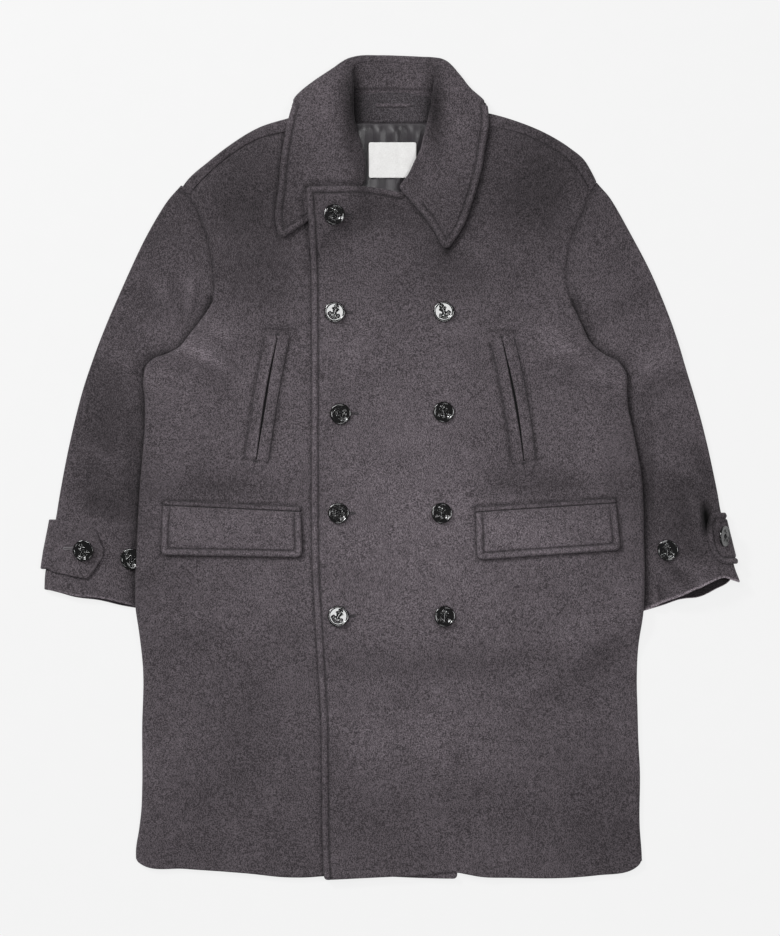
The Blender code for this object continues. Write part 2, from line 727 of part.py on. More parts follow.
def make_flap_pocket(side, top, finish):
    corners = FLAPS[side]
    laid_patch(f"flap_{side}", corners, top, FLAP_WALL, finish, (5, 2), FLAP_CORNER)
    top_left, top_right = Vector(corners[0]), Vector(corners[1])
    rise = (top_left - Vector(corners[3])).normalized()
    low = [top_left + rise * JET_GAP, top_right + rise * JET_GAP]
    high = [point + rise * JET_HEIGHT for point in low]
    strip = (high[0], high[1], low[1], low[0])
    laid_patch(f"flap_jet_{side}", strip, top, LIP_WALL, finish, (6, 1))


def make_slit_pocket(side, top, finish):
    head, foot = (Vector(point) for point in SLITS[side])
    run = (head - foot).normalized()
    aside = Vector((run.y, -run.x))
    for place, sign in (("inner", 1), ("outer", -1)):
        near = aside * sign * SLIT_WIDTH / 2
        far = aside * sign * (SLIT_WIDTH / 2 + LIP_WIDTH)
        high, low = head + run * LIP_POINT, foot - run * LIP_POINT
        edges = [(high + near, low + near), (head + far, foot + far)]
        if sign < 0:
            edges.reverse()
        corners = (edges[0][0], edges[1][0], edges[1][1], edges[0][1])
        hand = "inner" if (side == "left") == (sign > 0) else "outer"
        laid_patch(f"pocket_lip_{side}_{hand}", corners, top, LIP_WALL, finish, (2, 8))


def make_neck_inside(back_top, wool, lining, white):
    """Facing, lining, hanger loop and bare label, which show inside the neck."""

    def neck_sheet(name, edges, wall, finish, above=0.0):
        grid = []
        for left, right, up, bow in edges:
            line = []
            for k in range(7):
                share = k / 6
                x = left + (right - left) * share
                height = up + bow * (1 - (2 * share - 1) ** 2)
                line.append((x, height, back_top(x, height) + NECK_GAP + wall / 2 + above))
            grid.append(line)
        return sheet(name, grid, wall, finish)

    neck_sheet("lining_back", LINING_EDGES, LINING_WALL, lining)
    neck_sheet("facing_back_neck", FACING_EDGES, FACING_WALL, wool)
    start, end, middle, height = LOOP
    edges = [(start, end, middle + side * height / 2, 0) for side in (-1, 1)]
    neck_sheet("hanger_loop", edges, LOOP_WALL, wool, FACING_WALL + SEWN_GAP)
    start, end, low, high = LABEL
    edges = [(start, end, low + (high - low) * share, 0) for share in (0, 0.5, 1)]
    neck_sheet("label_blank", edges, LABEL_WALL, white, LINING_WALL + SEWN_GAP)


def cuff_shape(side, up):
    """Outer edge, inner edge, and the two radii of the outer fold of a sleeve at a height."""
    outer = along([ring[:2] for ring in SLEEVE_RINGS[side]], 1, up)[0]
    inner = along([ring[2:] for ring in SLEEVE_RINGS[side]], 1, up)[0]
    high = (FRONT_MID - BACK_MID + cuff_puff(side, 0.0, outer, up)) / 2
    return outer, inner, min(high, FOLD_REACH), high


def round_cuff(side, up, x, angle, off):
    """A place off the sleeve's outer face: over x, or past the fold's start at an angle."""
    outer, inner, wide, high = cuff_shape(side, up)
    hand = 1 if outer > 0 else -1
    centre = outer - hand * (wide + CLOTH / 2)
    if angle is not None:
        turn = math.radians(angle)
        reach = (wide + CLOTH / 2 + off) * math.cos(turn)
        return (centre + hand * reach, up, BACK_MID + high + (high + CLOTH / 2 + off) * math.sin(turn))
    near = min(hand * x, hand * centre) * hand
    puffs = [cuff_puff(side, max(0.0, (at - outer) / (inner - outer)), at, up) for at in (near, near - hand)]
    slope = puffs[1] - puffs[0]
    steep = math.hypot(1, slope)
    rise = FRONT_MID + CLOTH / 2 + puffs[0]
    return (near + hand * off * slope / steep, up, rise + off / steep)


def make_tab(side, finish):
    """A strap buttoned across the cuff, which turns down round the sleeve's outer fold."""
    off = TAB_GAP + TAB_WALL / 2
    grid = []
    for angle in TAB_ANGLES:
        line = []
        for k in range(5):
            up = TAB_FOLD[side][0] + (TAB_FOLD[side][1] - TAB_FOLD[side][0]) * k / 4
            line.append(round_cuff(side, up, None, angle, off))
        grid.append(line)
    for upper_x, upper_up, lower_x, lower_up in TABS[side]:
        line = []
        for k in range(5):
            share = k / 4
            x = upper_x + (lower_x - upper_x) * share
            up = upper_up + (lower_up - upper_up) * share
            line.append(round_cuff(side, up, x, None, off))
        grid.append(line)
    return sheet(f"tab_{side}", grid, TAB_WALL, finish)


def make_button(name, finish, x, up, z, lean=0.0):
    """A turned button with a raised rim and a dished middle."""
    mesh = bmesh.new()
    rings = []
    for radius, height in BUTTON_PROFILE:
        ring = []
        for step in range(BUTTON_STEPS):
            angle = 2 * math.pi * step / BUTTON_STEPS
            place = Vector((radius * math.cos(angle), radius * math.sin(angle), height))
            ring.append(mesh.verts.new(place * MM))
        rings.append(ring)
    for low, high in zip(rings, rings[1:]):
        for k in range(BUTTON_STEPS):
            after = (k + 1) % BUTTON_STEPS
            mesh.faces.new((low[k], low[after], high[after], high[k]))
    mesh.faces.new(rings[0][::-1])
    mesh.faces.new(rings[-1])
    data = bpy.data.meshes.new(name)
    mesh.to_mesh(data)
    mesh.free()
    data.materials.append(material(name, *finish))
    data.shade_smooth()
    data.set_sharp_from_angle(angle=math.radians(40))
    made = bpy.data.objects.new(name, data)
    bpy.context.collection.objects.link(made)
    made.matrix_world = Matrix.Translation(in_place(x, up, z)) @ Matrix.Rotation(math.radians(lean), 4, "Y")
    return made


def rest_height(top, x, up, lean=0.0):
    """Height at which a button's middle clears everything beneath its rim."""
    tilt = math.radians(lean)
    heights = [top(x, up)]
    for step in range(12):
        angle = 2 * math.pi * step / 12
        aside = BUTTON_RADIUS * math.cos(angle)
        below = top(x + aside * math.cos(tilt), up + BUTTON_RADIUS * math.sin(angle))
        if below is not None:
            heights.append(below + aside * math.sin(tilt))
    return max(heights) + BUTTON_GAP


def make_buttons(finish, front_top, cuff_tops):
    for name, (x, up) in FRONT_BUTTONS.items():
        make_button(name, finish, x, up, rest_height(front_top, x, up))
    for name, (side, x, up, angle, lean) in CUFF_BUTTONS.items():
        if angle is None:
            z = rest_height(cuff_tops[side], x, up, lean)
        else:
            x, up, z = round_cuff(side, up, x, angle, TAB_GAP + TAB_WALL + LEANING_GAP)
        make_button(name, finish, x, up, z, lean)


def main():
    for old in list(bpy.data.objects):
        bpy.data.objects.remove(old, do_unlink=True)
    back = make_back(WOOL)
    under = make_front("front_under", WOOL, UNDER_COLUMNS, UNDER_HEM, UNDER_EDGE, under_mid, True)
    over_columns = [(1 - share, x, up) for share, x, up in reversed(OVER_COLUMNS)]
    over = make_front("front_over", WOOL, over_columns, OVER_HEM[::-1], OVER_EDGE, over_mid, False)
    cuff_tops = {}
    for side in ("left", "right"):
        sleeve = make_sleeve(side, WOOL)
        tab = make_tab(side, WOOL)
        cuff_tops[side] = top_of(sleeve, tab)
    make_collar(WOOL, top_of(back, under), top_of(back, over))
    make_neck_inside(top_of(back), INNER_WOOL, SATIN, TAPE)
    for side, front in (("left", under), ("right", over)):
        make_flap_pocket(side, top_of(front), WOOL)
        make_slit_pocket(side, top_of(front), WOOL)
    make_buttons(RESIN, top_of(over), cuff_tops)


main()
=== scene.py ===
"""A long double-breasted pea coat of charcoal wool, buttoned and laid flat on its back.

Tables are in millimetres: x runs across the coat, "up" runs from the hem to the collar and z is
the height above the floor. "left" and "right" are as seen from above with the collar away.
"""

import math

import bmesh
import bpy
import numpy as np
from mathutils import Matrix, Vector, geometry
from mathutils.bvhtree import BVHTree


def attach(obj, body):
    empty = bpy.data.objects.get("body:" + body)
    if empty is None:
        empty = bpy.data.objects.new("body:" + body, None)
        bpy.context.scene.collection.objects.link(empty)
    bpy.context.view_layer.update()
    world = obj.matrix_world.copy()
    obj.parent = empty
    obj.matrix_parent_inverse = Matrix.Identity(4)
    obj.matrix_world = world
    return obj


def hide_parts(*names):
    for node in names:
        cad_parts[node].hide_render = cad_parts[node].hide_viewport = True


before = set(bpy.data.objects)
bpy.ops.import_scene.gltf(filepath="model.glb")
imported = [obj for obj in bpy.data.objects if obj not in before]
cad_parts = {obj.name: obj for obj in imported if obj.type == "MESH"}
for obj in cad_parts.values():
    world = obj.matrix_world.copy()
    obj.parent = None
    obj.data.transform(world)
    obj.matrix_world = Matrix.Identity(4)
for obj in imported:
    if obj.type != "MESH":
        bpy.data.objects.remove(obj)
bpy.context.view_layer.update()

MIDDLE = np.array((-1.4, 536.4, 0.0))  # the tables' place that lies over the origin
MM = 0.001
TINY = 1e-6

CLOTH = 2.6  # one layer of wool with its lining
HALF_CLOTH = CLOTH / 2
FRONT_MID = 6.1  # middle of a front that lies on nothing but the back
LAP_RISE = 3.5  # the over front lies this much higher on the under one
SLEEVE_LIFT = 8.6  # a sleeve beneath the body lifts it by this
COLLAR_LIFT = 4.3
STITCH_IN = 9.0  # topstitching runs this far in from an edge
FAR_OFF = 99.0  # stands for a distance too long to matter

# ---------------------------------------------------------------- outlines and tables

LEFT_ARMHOLE = (
    (-262, 890), (-258, 882), (-250, 867), (-243, 848), (-236, 823), (-232, 798), (-230, 778),
    (-233, 753),
)
LEFT_SIDE = (
    (-233, 753), (-241, 738), (-250, 725), (-263, 708), (-274, 694), (-292, 684), (-310, 677),
    (-319, 667), (-321.5, 652), (-320, 624), (-320, 588), (-323, 551), (-327, 500), (-329, 463),
    (-330, 426), (-332, 389), (-332, 356), (-328, 326), (-325, 299), (-323, 277), (-324, 195),
    (-324, 117), (-325, 91), (-328, 65), (-332, 39), (-332, 25),
)
RIGHT_ARMHOLE = (
    (259, 895), (252, 873), (239, 847), (230, 812), (227, 788), (230, 770), (236, 751),
)
RIGHT_SIDE = (
    (236, 751), (247, 725), (260, 698), (276, 684), (295, 674), (305, 661), (307, 632),
    (309, 610), (313, 592), (320, 557), (325, 531), (328, 491), (329, 438), (330, 398),
    (328, 349), (322, 305), (320, 260), (321, 221), (322, 182), (324, 143), (324, 65), (326, 39),
    (327, 22),
)
LEFT_SEAM = (
    (-80, 991), (-135, 973), (-171, 964), (-207, 943), (-232, 923), (-252, 903), (-262, 890),
)
RIGHT_SEAM = (
    (91, 987), (139, 977), (156, 974), (196, 959), (225, 941), (242, 925), (252, 910), (259, 895),
)
OVER_EDGE = (
    (-110, 901), (-104, 806), (-103, 715), (-103, 520), (-102, 411), (-99, 348), (-95, 280),
    (-91, 211), (-90, 143), (-88, 20), (-87, 0),
)
OVER_TOP = ((12, 894), (-12, 898), (-34, 901), (-72, 901.5), (-110, 901))
OVER_HEM = (
    (-87, 0), (-45, 2), (-4, 4), (40, 6), (86, 9.6), (100, 7), (114, 4.4), (156, 2.5), (230, 2.5),
    (269, 5.7), (315, 13.5), (327, 22),
)
UNDER_HEM = (
    (-332, 25), (-323, 19), (-268, 14), (-211, 10), (-186, 8), (-134, 3), (-108, 3), (-89, 4.4),
    (-40, 4.5), (-4, 4), (40, 2.2), (86, 1.3),
)
UNDER_EDGE = ((86, 1.3), (98, 300), (103, 715), (106, 897))

# the fronts' edges that lie hidden under the collar
UNDER_TUCK = (
    (106, 897), (40, 896), (-12, 893), (-46, 897), (-62, 908), (-77, 930), (-88, 960), (-80, 991),
)
OVER_TUCK = ((91, 987), (87, 955), (71, 925), (46, 901.5), (12, 894))

BACK_SILHOUETTE = (
    (-273, 899), (-266, 909), (-238, 934), (-211, 955), (-171, 979), (-135, 990), (-90, 1002),
    (-66, 1017), (-41, 1025.5), (0, 1026.5), (54, 1025), (66, 1017), (90, 1003), (126, 997),
    (156, 989), (202, 971), (233, 952), (251, 937), (261, 921), (268, 907),
)
BACK_HEM = ((-332, 27), (-211, 13), (-87, 7), (90, 11), (230, 6), (327, 25))

SLEEVE_REACH = (
    # up, left x, right x: where each sleeve ends beneath the body
    (345, -303, 299), (425, -302, 296), (505, -298, 290), (590, -295, 281), (625, -291, 275),
    (650, -284, 269), (672, -268, 260), (700, -256, 251), (727, -249, 246),
)
SLEEVES = {
    # arm: the seam from the shoulder to the armpit; rings: outer x, up, inner x, up from
    # armhole to cuff; the hems of the upper and the lower layer; puff: how far the cuff opens
    "left": {
        "arm": (
            (-276.5, 900), (-262, 886), (-251, 867), (-244, 848), (-237, 823), (-233, 798),
            (-231, 778), (-234, 753), (-247, 725), (-255, 704),
        ),
        "rings": (
            (-276.5, 900, -255, 704), (-295, 877, -258, 694), (-322, 830, -264, 680),
            (-352, 765, -274, 664), (-375, 711, -284, 648), (-395, 656, -291, 628),
            (-407, 615, -295, 590), (-420, 559, -297, 550), (-430, 507, -298, 505),
            (-437, 465, -300, 465), (-445, 428, -302, 425), (-450, 398, -303, 390),
            (-451, 379, -303, 352),
        ),
        "upper_hem": (
            (-451, 379), (-432, 376), (-413, 371), (-378, 367.5), (-349, 361), (-332, 357),
            (-303, 352),
        ),
        "lower_hem": (
            (-451, 379), (-432, 374.5), (-413, 369), (-378, 364), (-349, 357), (-332, 354),
            (-303, 351),
        ),
        "puff": 1.6,
    },
    "right": {
        "arm": (
            (270.8, 903), (260, 895), (252.8, 873), (239.8, 847), (230.8, 812), (227.8, 788),
            (230.8, 770), (236.8, 751), (245, 725), (250, 704),
        ),
        "rings": (
            (270.8, 903, 250, 704), (287, 884, 251, 696), (312, 840, 255, 684),
            (340, 786, 262, 668), (366, 722, 269, 652), (385, 661, 275, 628),
            (401, 607, 281, 590), (413, 559, 286, 550), (424, 507, 290, 505),
            (429, 478, 293, 465), (439, 436, 296, 425), (446, 407, 298, 390),
            (453, 388, 299, 343),
        ),
        "upper_hem": (
            (452, 390), (438, 394), (417, 389.5), (399, 383), (375, 371.5), (354, 363),
            (330, 352), (299, 343),
        ),
        "lower_hem": (
            (453, 386), (451, 384), (429, 375), (408, 368), (375, 364), (354, 357), (330, 350),
            (299, 342),
        ),
        "puff": 24.0,
    },
}

COLLAR_ROWS = (
    # foot x, up, z, roll x, up, z, edge x, up, z, tail x, up (None: lies on top)
    (-42, 901, 8.2, -36, 906, 12.9, -144, 831, 10.2, None, None),
    (-58, 910.5, 7.5, -36, 925, 14.0, -150, 862, 10.2, None, None),
    (-75, 931, 7.0, -38, 943, 16.0, -146, 897, 10.2, None, None),
    (-86, 959, 8.0, -45, 965, 18.5, -142, 940, 10.4, None, None),
    (-86.5, 985, 9.6, -51, 985, 21.0, -135, 981, 13.6, None, None),
    (-84.5, 1001.5, 9.0, -53, 1003, 21.0, -129, 1003.5, 12.4, None, None),
    (-77, 1011.5, 8.3, -53, 1013, 20.5, -128.5, 1012, 12.4, -119, 1000),
    (-69, 1017.5, 7.5, -53, 1022, 20.0, -123, 1022, 13.0, -108, 991),
    (-61, 1021.5, 6.6, -53, 1036, 18.0, -105, 1037, 13.0, -92, 987),
    (-52, 1025, 5.8, -52, 1050, 15.0, -80, 1054, 12.0, -70, 986),
    (-42, 1027.8, 5.4, -47, 1061, 10.0, -56, 1069, 9.5, -48, 985),
    (-22, 1027.8, 5.3, -26, 1065, 7.2, -28, 1073, 7.0, -26, 985),
    (4, 1028, 5.3, 4, 1065, 7.0, 4, 1072.5, 7.0, 4, 985),
    (34, 1027.3, 5.3, 36, 1063, 7.2, 38, 1071, 7.0, 32, 985),
    (54, 1027.5, 5.4, 56, 1059, 10.0, 68, 1068, 9.5, 54, 985),
    (62, 1023.8, 5.8, 60, 1048, 15.0, 88, 1051, 12.0, 76, 986),
    (69, 1019, 6.6, 60, 1034, 18.0, 104, 1031, 13.0, 92, 987),
    (76, 1014, 7.5, 58, 1021, 20.0, 118.5, 1018, 13.0, 106, 991),
    (82, 1010, 8.3, 57, 1013, 20.5, 123.6, 1011.5, 12.6, 115, 998),
    (85, 1001.5, 9.4, 56, 1004, 21.0, 125.6, 1004.5, 12.4, None, None),
    (86, 990, 10.6, 54, 995, 21.0, 127, 988, 14.2, None, None),
    (87, 975, 10.6, 50, 980, 21.0, 126, 974, 13.0, None, None),
    (84, 956, 10.0, 46, 965, 20.0, 122, 950, 12.4, None, None),
    (76, 939, 10.0, 41, 946, 19.0, 117, 920, 12.6, None, None),
    (64, 921, 10.0, 33, 930, 18.0, 107, 885, 13.2, None, None),
    (44, 904.5, 10.0, 25, 914, 16.5, 93, 848, 13.6, None, None),
    (17, 896.8, 10.0, 13, 898, 15.0, 71, 816, 14.4, None, None),
)
COLLAR_WALL = 4.8  # two layers of wool, pressed
COLLAR_EDGE_ROWS = (0.0, 1.2, 2.6, 4.2, 5.6, 6.4, 7.1, 7.8, 8.6, 9.8, 12.0, 15.0)

# Soft ridges (height over 0) and troughs (under 0): both ends, half width, height in the middle
BODY_CREASES = (
    # x, up, x, up, half width, height
    (300, 352, 205, 250, 60, 2.2), (298, 300, 190, 215, 34, -1.4),
    (-300, 110, -240, 240, 80, 2.0), (-274, 693, -196, 650, 30, 2.4),
    (-262, 672, -205, 625, 26, -1.6), (-225, 700, -180, 712, 22, 1.4),
    (211, 693, 289, 646, 30, 2.4), (205, 660, 270, 622, 26, -1.6), (185, 712, 232, 706, 22, 1.4),
    (-66, 277, 203, 281, 34, -1.6), (-20, 170, 150, 160, 80, 1.6),
    (-30, 866, -100, 796, 24, -1.2), (20, 850, 110, 770, 40, -1.6),
    (-250, 512, -180, 520, 26, -1.4), (130, 512, 250, 520, 26, -1.4),
    (-270, 330, -180, 360, 40, 1.2), (60, 400, 190, 330, 50, 1.0),
    (-262, 706, -224, 697, 11, -1.3), (-224, 697, -184, 655, 13, -1.1),
    (-256, 692, -205, 662, 14, 1.5), (-285, 672, -235, 655, 15, -1.1),
    (208, 652, 276, 668, 14, -1.3), (204, 681, 262, 697, 12, 1.3), (196, 640, 250, 628, 12, 0.9),
)
SLEEVE_CREASES = {
    "left": (
        (-400, 560, -340, 530, 22, 1.6), (-405, 500, -335, 470, 24, -2.0),
        (-372, 690, -300, 640, 24, 1.8), (-279, 780, -270, 728, 13, -1.8),
        (-257, 776, -262, 744, 11, 1.4), (-297, 774, -288, 722, 13, 1.3),
        (-330, 760, -262, 716, 22, -1.6), (-395, 520, -390, 470, 16, -1.2),
        (-335, 600, -330, 450, 14, -1.2),
    ),
    "right": (
        (400, 560, 420, 510, 14, -2.4), (345, 560, 398, 520, 22, 1.8),
        (372, 690, 300, 640, 24, 1.8), (338, 628, 380, 654, 15, -1.4),
        (330, 600, 372, 622, 15, 1.2), (262, 760, 284, 742, 12, 1.2),
        (330, 760, 258, 716, 22, -1.6), (392, 500, 402, 455, 14, 2.0),
        (410, 488, 409, 452, 9, -3.0), (389, 419, 415, 432, 4.5, 1.2),
        (352, 412, 388, 382, 12, -2.2), (341, 396, 344, 352, 6, 1.6),
        (350, 396, 352, 356, 5, -1.4), (338, 620, 336, 450, 13, -1.4),
    ),
}

FLAPS = {
    "left": ((-296, 487), (-117, 478.5), (-115, 419), (-298, 422.5)),
    "right": ((110, 478), (292, 490), (298, 429), (112, 416)),
}
SLITS = {
    "left": ((-148, 704), (-158, 655), (-167, 600), (-175, 547)),
    "right": ((145, 701), (156, 652), (166, 598), (173, 545)),
}
FRONT_BUTTONS = {
    # name: x, up, turn in degrees, lean to the right, lean towards the hem
    "button_top": (-73.6, 864, 12, 3, -2),
    "button_left_1": (-73, 738, -18, 1, 0),
    "button_right_1": (68.6, 738.7, 22, -1, 0),
    "button_left_2": (-65.7, 606, 62, 2, 2),
    "button_right_2": (68.3, 608.5, 10, 3, 1),
    "button_left_3": (-68.3, 477, 75, 2, -1),
    "button_right_3": (65.7, 477, 8, 3, -2),
    "button_left_4": (-68.5, 343, -25, 1, -5.6),
    "button_right_4": (69.7, 343, 0, 4, -2),
}
CUFF_BUTTONS = {
    # name: side, x, up, turn in degrees, lean to the right
    "button_cuff_left": ("left", -399, 428.5, 20, -8),
    "button_cuff_left_spare": ("left", -338, 417.5, 40, 0),
    "button_cuff_right": ("right", 430.5, 447, 15, 57),
    "button_cuff_right_spare": ("right", 359, 429, 5, -10),
}
TAB_FOLD = {"left": (469, 404), "right": (478, 411)}
TABS = {
    # upper x, up, lower x, up of the strap's two edges, from the fold to its point
    "left": (
        (-430, 467.5, -438, 400), (-414, 465.5, -424, 397), (-400, 464, -412, 394),
        (-387.5, 460.5, -397, 391.5), (-381, 447, -386.5, 403), (-374.5, 430, -375.5, 421),
    ),
    "right": (
        (420, 479, 428, 412.5), (415, 470, 421, 418), (412.8, 458, 414.5, 430),
        (412, 449, 412.6, 440),
    ),
}


# ---------------------------------------------------------------- curves and heights


def smooth(share):
    share = np.clip(share, 0, 1)
    return share * share * (3 - 2 * share)


def unit(way):
    """The same direction with a length of 1, for one vector or for rows of them."""
    if way.ndim == 1:
        return way / np.linalg.norm(way)
    return way / np.linalg.norm(way, axis=1, keepdims=True)


def along(points):
    """Length of a line up to each of its points."""
    return np.concatenate([[0], np.cumsum(np.linalg.norm(np.diff(points, axis=0), axis=1))])


def beside(line, distance):
    """A line that keeps a distance from another, on its left."""
    run = unit(np.gradient(line, axis=0))
    return line + np.stack([-run[:, 1], run[:, 0]], 1) * distance


def bell(gap, wide):
    """1 at no gap, and fading to 0 over a width or two."""
    return np.exp(-((gap / wide) ** 2))


def cubic(knots, points, tangent, at):
    """A curve through points at the knots, with a tangent at each."""
    k = np.clip(np.searchsorted(knots, at, side="right") - 1, 0, len(knots) - 2)
    gap = (knots[k + 1] - knots[k])[:, None]
    s = (at - knots[k])[:, None] / gap
    return (
        points[k] * (1 + 2 * s) * (1 - s) ** 2
        + points[k + 1] * (3 - 2 * s) * s**2
        + tangent[k] * gap * s * (1 - s) ** 2
        - tangent[k + 1] * gap * (1 - s) * s**2
    )


def spline(knots, points, at):
    """A curve through points at the knots, with no overshoot between them."""
    knots, points = np.asarray(knots, float), np.asarray(points, float)
    gaps = np.diff(knots)[:, None]
    slope = np.diff(points, axis=0) / gaps
    tangent = np.empty_like(points)
    tangent[0], tangent[-1] = slope[0], slope[-1]
    middle = (slope[:-1] * gaps[1:] + slope[1:] * gaps[:-1]) / (gaps[1:] + gaps[:-1])
    most = 3 * np.minimum(np.abs(slope[:-1]), np.abs(slope[1:]))
    tangent[1:-1] = np.clip(middle, -most, most) * (slope[:-1] * slope[1:] > 0)
    return cubic(knots, points, tangent, at)


def bow(points, at_share=None, step=3.0):
    """A rounded line through points, at even steps or at shares of its length."""
    points = np.asarray(points, float)
    knots = along(points)
    if at_share is None:
        at_share = np.linspace(0, 1, max(2, int(round(knots[-1] / step)) + 1))
    return cubic(knots, points, np.gradient(points, knots, axis=0), at_share * knots[-1])


def gap_to(line, x, up):
    """Distance in plan from each place to a line."""
    line = np.asarray(line, float)[:, :2]
    start, run = line[:-1], np.diff(line, axis=0)
    length = np.maximum((run**2).sum(1), 1e-9)
    spots = np.stack([x.ravel(), up.ravel()], 1)
    found = np.empty(len(spots))
    for first in range(0, len(spots), 4000):
        part = spots[first : first + 4000, None] - start
        share = np.clip((part * run).sum(2) / length, 0, 1)
        off = part - run * share[..., None]
        found[first : first + 4000] = np.sqrt((off**2).sum(2).min(1))
    return found.reshape(x.shape)


class Cockle:
    """Soft random unevenness of cloth, with waves of about one size."""

    def __init__(self, size, seed):
        self.size = size
        self.values = np.random.default_rng(seed).normal(size=(64, 64))

    def __call__(self, x, up):
        across, along = np.asarray(x) / self.size + 31.3, np.asarray(up) / self.size + 17.7
        i, j = np.floor(across).astype(int), np.floor(along).astype(int)
        s, t = smooth(across - i), smooth(along - j)
        v = self.values
        i, j, k, m = i % 64, j % 64, (i + 1) % 64, (j + 1) % 64
        return (v[i, j] * (1 - s) + v[k, j] * s) * (1 - t) + (v[i, m] * (1 - s) + v[k, m] * s) * t


wide_cockle, small_cockle, pucker = Cockle(75, 3), Cockle(24, 5), Cockle(7, 9)


def cockle(x, up):
    return 0.5 * wide_cockle(x, up) + 0.16 * small_cockle(x, up)


def sleeve_lift(x, up, ramp):
    """How far a sleeve beneath the body lifts it, rising over the ramp beside the sleeve."""
    reach = np.asarray(SLEEVE_REACH, float)
    left = np.interp(up, reach[:, 0], reach[:, 1])
    right = np.interp(up, reach[:, 0], reach[:, 2])
    inside = np.where(x < 0, left - x, x - right)
    below, above = smooth((up - 285) / 60), smooth((745 - up) / 40)
    return SLEEVE_LIFT * smooth((inside + ramp) / ramp) * below * above


def collar_lift(x, up):
    """The collar's fold behind the neck lifts the shoulders."""
    return COLLAR_LIFT * smooth((up - 985 - 16 * (x / 130) ** 2 + 45) / 37)


def button_lift(x, up):
    """The spare button of the left cuff lifts the body's edge."""
    return 6.2 * smooth((48 - np.hypot(x + 338, up - 417.5)) / 26)


CREASE_DEPTH = 3.2


def creases(table, x, up):
    """Height that the soft ridges and troughs of a table add at a place."""
    total = np.zeros_like(np.asarray(x, float))
    for x1, up1, x2, up2, half, height in table:
        run = np.array((x2 - x1, up2 - up1), float)
        share = ((x - x1) * run[0] + (up - up1) * run[1]) / (run**2).sum()
        inside = np.clip(share, 0, 1)
        far = np.hypot(x - x1 - run[0] * inside, up - up1 - run[1] * inside)
        fade = 0.55 + 0.45 * np.sin(math.pi * np.clip(share, 0, 1))
        total += CREASE_DEPTH * height * fade * smooth(1 - far / half)
    return total


def body_lift(x, up, ramp):
    return sleeve_lift(x, up, ramp) + collar_lift(x, up) + button_lift(x, up)


def under_mid(x, up):
    soft = np.maximum(creases(BODY_CREASES, x, up) + 1.3 * cockle(x, up), -1.8)
    return FRONT_MID + body_lift(x, up, 110) + soft


def over_mid(x, up):
    on_lap = 1 - smooth((x - 112) / 60)
    past = (x + 146) * 0.537 - (up - 836) * 0.844
    on_collar = (1 - smooth((past - 14) / 40)) * (1 - smooth((x + 20) / 60))
    return under_mid(x, up) + LAP_RISE * on_lap + 7.4 * on_collar


def rounding(gap, radius):
    """0 at an edge, rising in a quarter circle to 1."""
    return np.sqrt(1 - (1 - np.clip(gap / radius, 0, 1)) ** 2)


# ---------------------------------------------------------------- nap and painted light and shade: how light the wool is drawn

# painted light and shade in soft spots: darker where shade falls, as at the shoulders, on the
# sleeves, beside the collar's roll and above the flaps, and lighter over the middle of the front
SHADE_AND_NAP_SPOTS = (
    # x, up, half width, half height, change
    (14, 430, 150, 200, 0.37), (0, 865, 100, 45, -0.34), (-195, 900, 85, 95, -0.54),
    (195, 905, 90, 95, -0.6), (-165, 780, 64, 62, -0.3), (60, 785, 60, 35, -0.2),
    (-210, 508, 110, 20, -0.3), (200, 512, 100, 20, -0.28), (-380, 590, 56, 130, -0.52),
    (-340, 480, 30, 130, -0.14), (385, 480, 48, 80, -0.54), (330, 560, 24, 150, -0.12),
    (-240, 150, 110, 180, -0.24), (-20, 80, 150, 90, -0.1), (290, 60, 80, 90, -0.3),
    (-310, 860, 40, 90, -0.28), (310, 860, 40, 90, -0.14), (-220, 690, 60, 30, 0.12),
    (240, 690, 60, 30, 0.12), (-200, 450, 90, 34, 0.18), (200, 450, 90, 34, 0.3),
    (60, 280, 150, 18, -0.12), (245, 290, 50, 26, -0.14), (210, 245, 40, 20, -0.12),
    (-50, 1000, 16, 62, -0.76), (56, 1002, 14, 60, -0.74), (-36, 920, 14, 40, -0.4),
    (28, 925, 12, 30, -0.3), (0, 1050, 60, 30, -0.2), (409, 471, 8, 18, -0.4),
    (398, 426, 22, 9, -0.2), (352, 372, 30, 18, -0.14), (-340, 790, 40, 70, -0.12),
)


def nap(x, up):
    # the spots and the crease term are painted light and shade; only the cockle term at the end is
    # the nap's own uneven tone
    tone = np.ones_like(x)
    for spot_x, spot_up, wide, high, change in SHADE_AND_NAP_SPOTS:
        far = np.hypot((x - spot_x) / wide, (up - spot_up) / high)
        tone += change * np.exp(-far * far)
    for table in (BODY_CREASES, *SLEEVE_CREASES.values()):
        tone += 0.03 * creases(table, x, up)  # painted light on a ridge and painted shade in a trough
    return tone * (1 + 0.045 * wide_cockle(x + 400, up) + 0.035 * small_cockle(x, up + 300))


# ---------------------------------------------------------------- making meshes


def added(name, data):
    made = bpy.data.objects.new(name, data)
    bpy.context.collection.objects.link(made)
    return made


def finish_mesh(name, points, faces, tone=None):
    """A smooth piece from points in millimetres, with its tone at each point: nap and painted light
    and shade.
    """
    points = np.array(points, float)
    points[:, 2] = np.maximum(points[:, 2], 0)  # nothing lies under the floor
    data = bpy.data.meshes.new(name)
    data.from_pydata(((points - MIDDLE) * MM).tolist(), [], faces)
    data.validate()
    shape = bmesh.new()
    shape.from_mesh(data)
    bmesh.ops.recalc_face_normals(shape, faces=shape.faces)
    shape.to_mesh(data)
    shape.free()
    data.shade_smooth()
    if tone is not None:
        # the tone is the nap's own tone with painted light and shade multiplied in
        layer = data.attributes.new("nap", "FLOAT", "POINT")
        layer.data.foreach_set("value", np.asarray(tone, np.float32))
    return added(name, data)


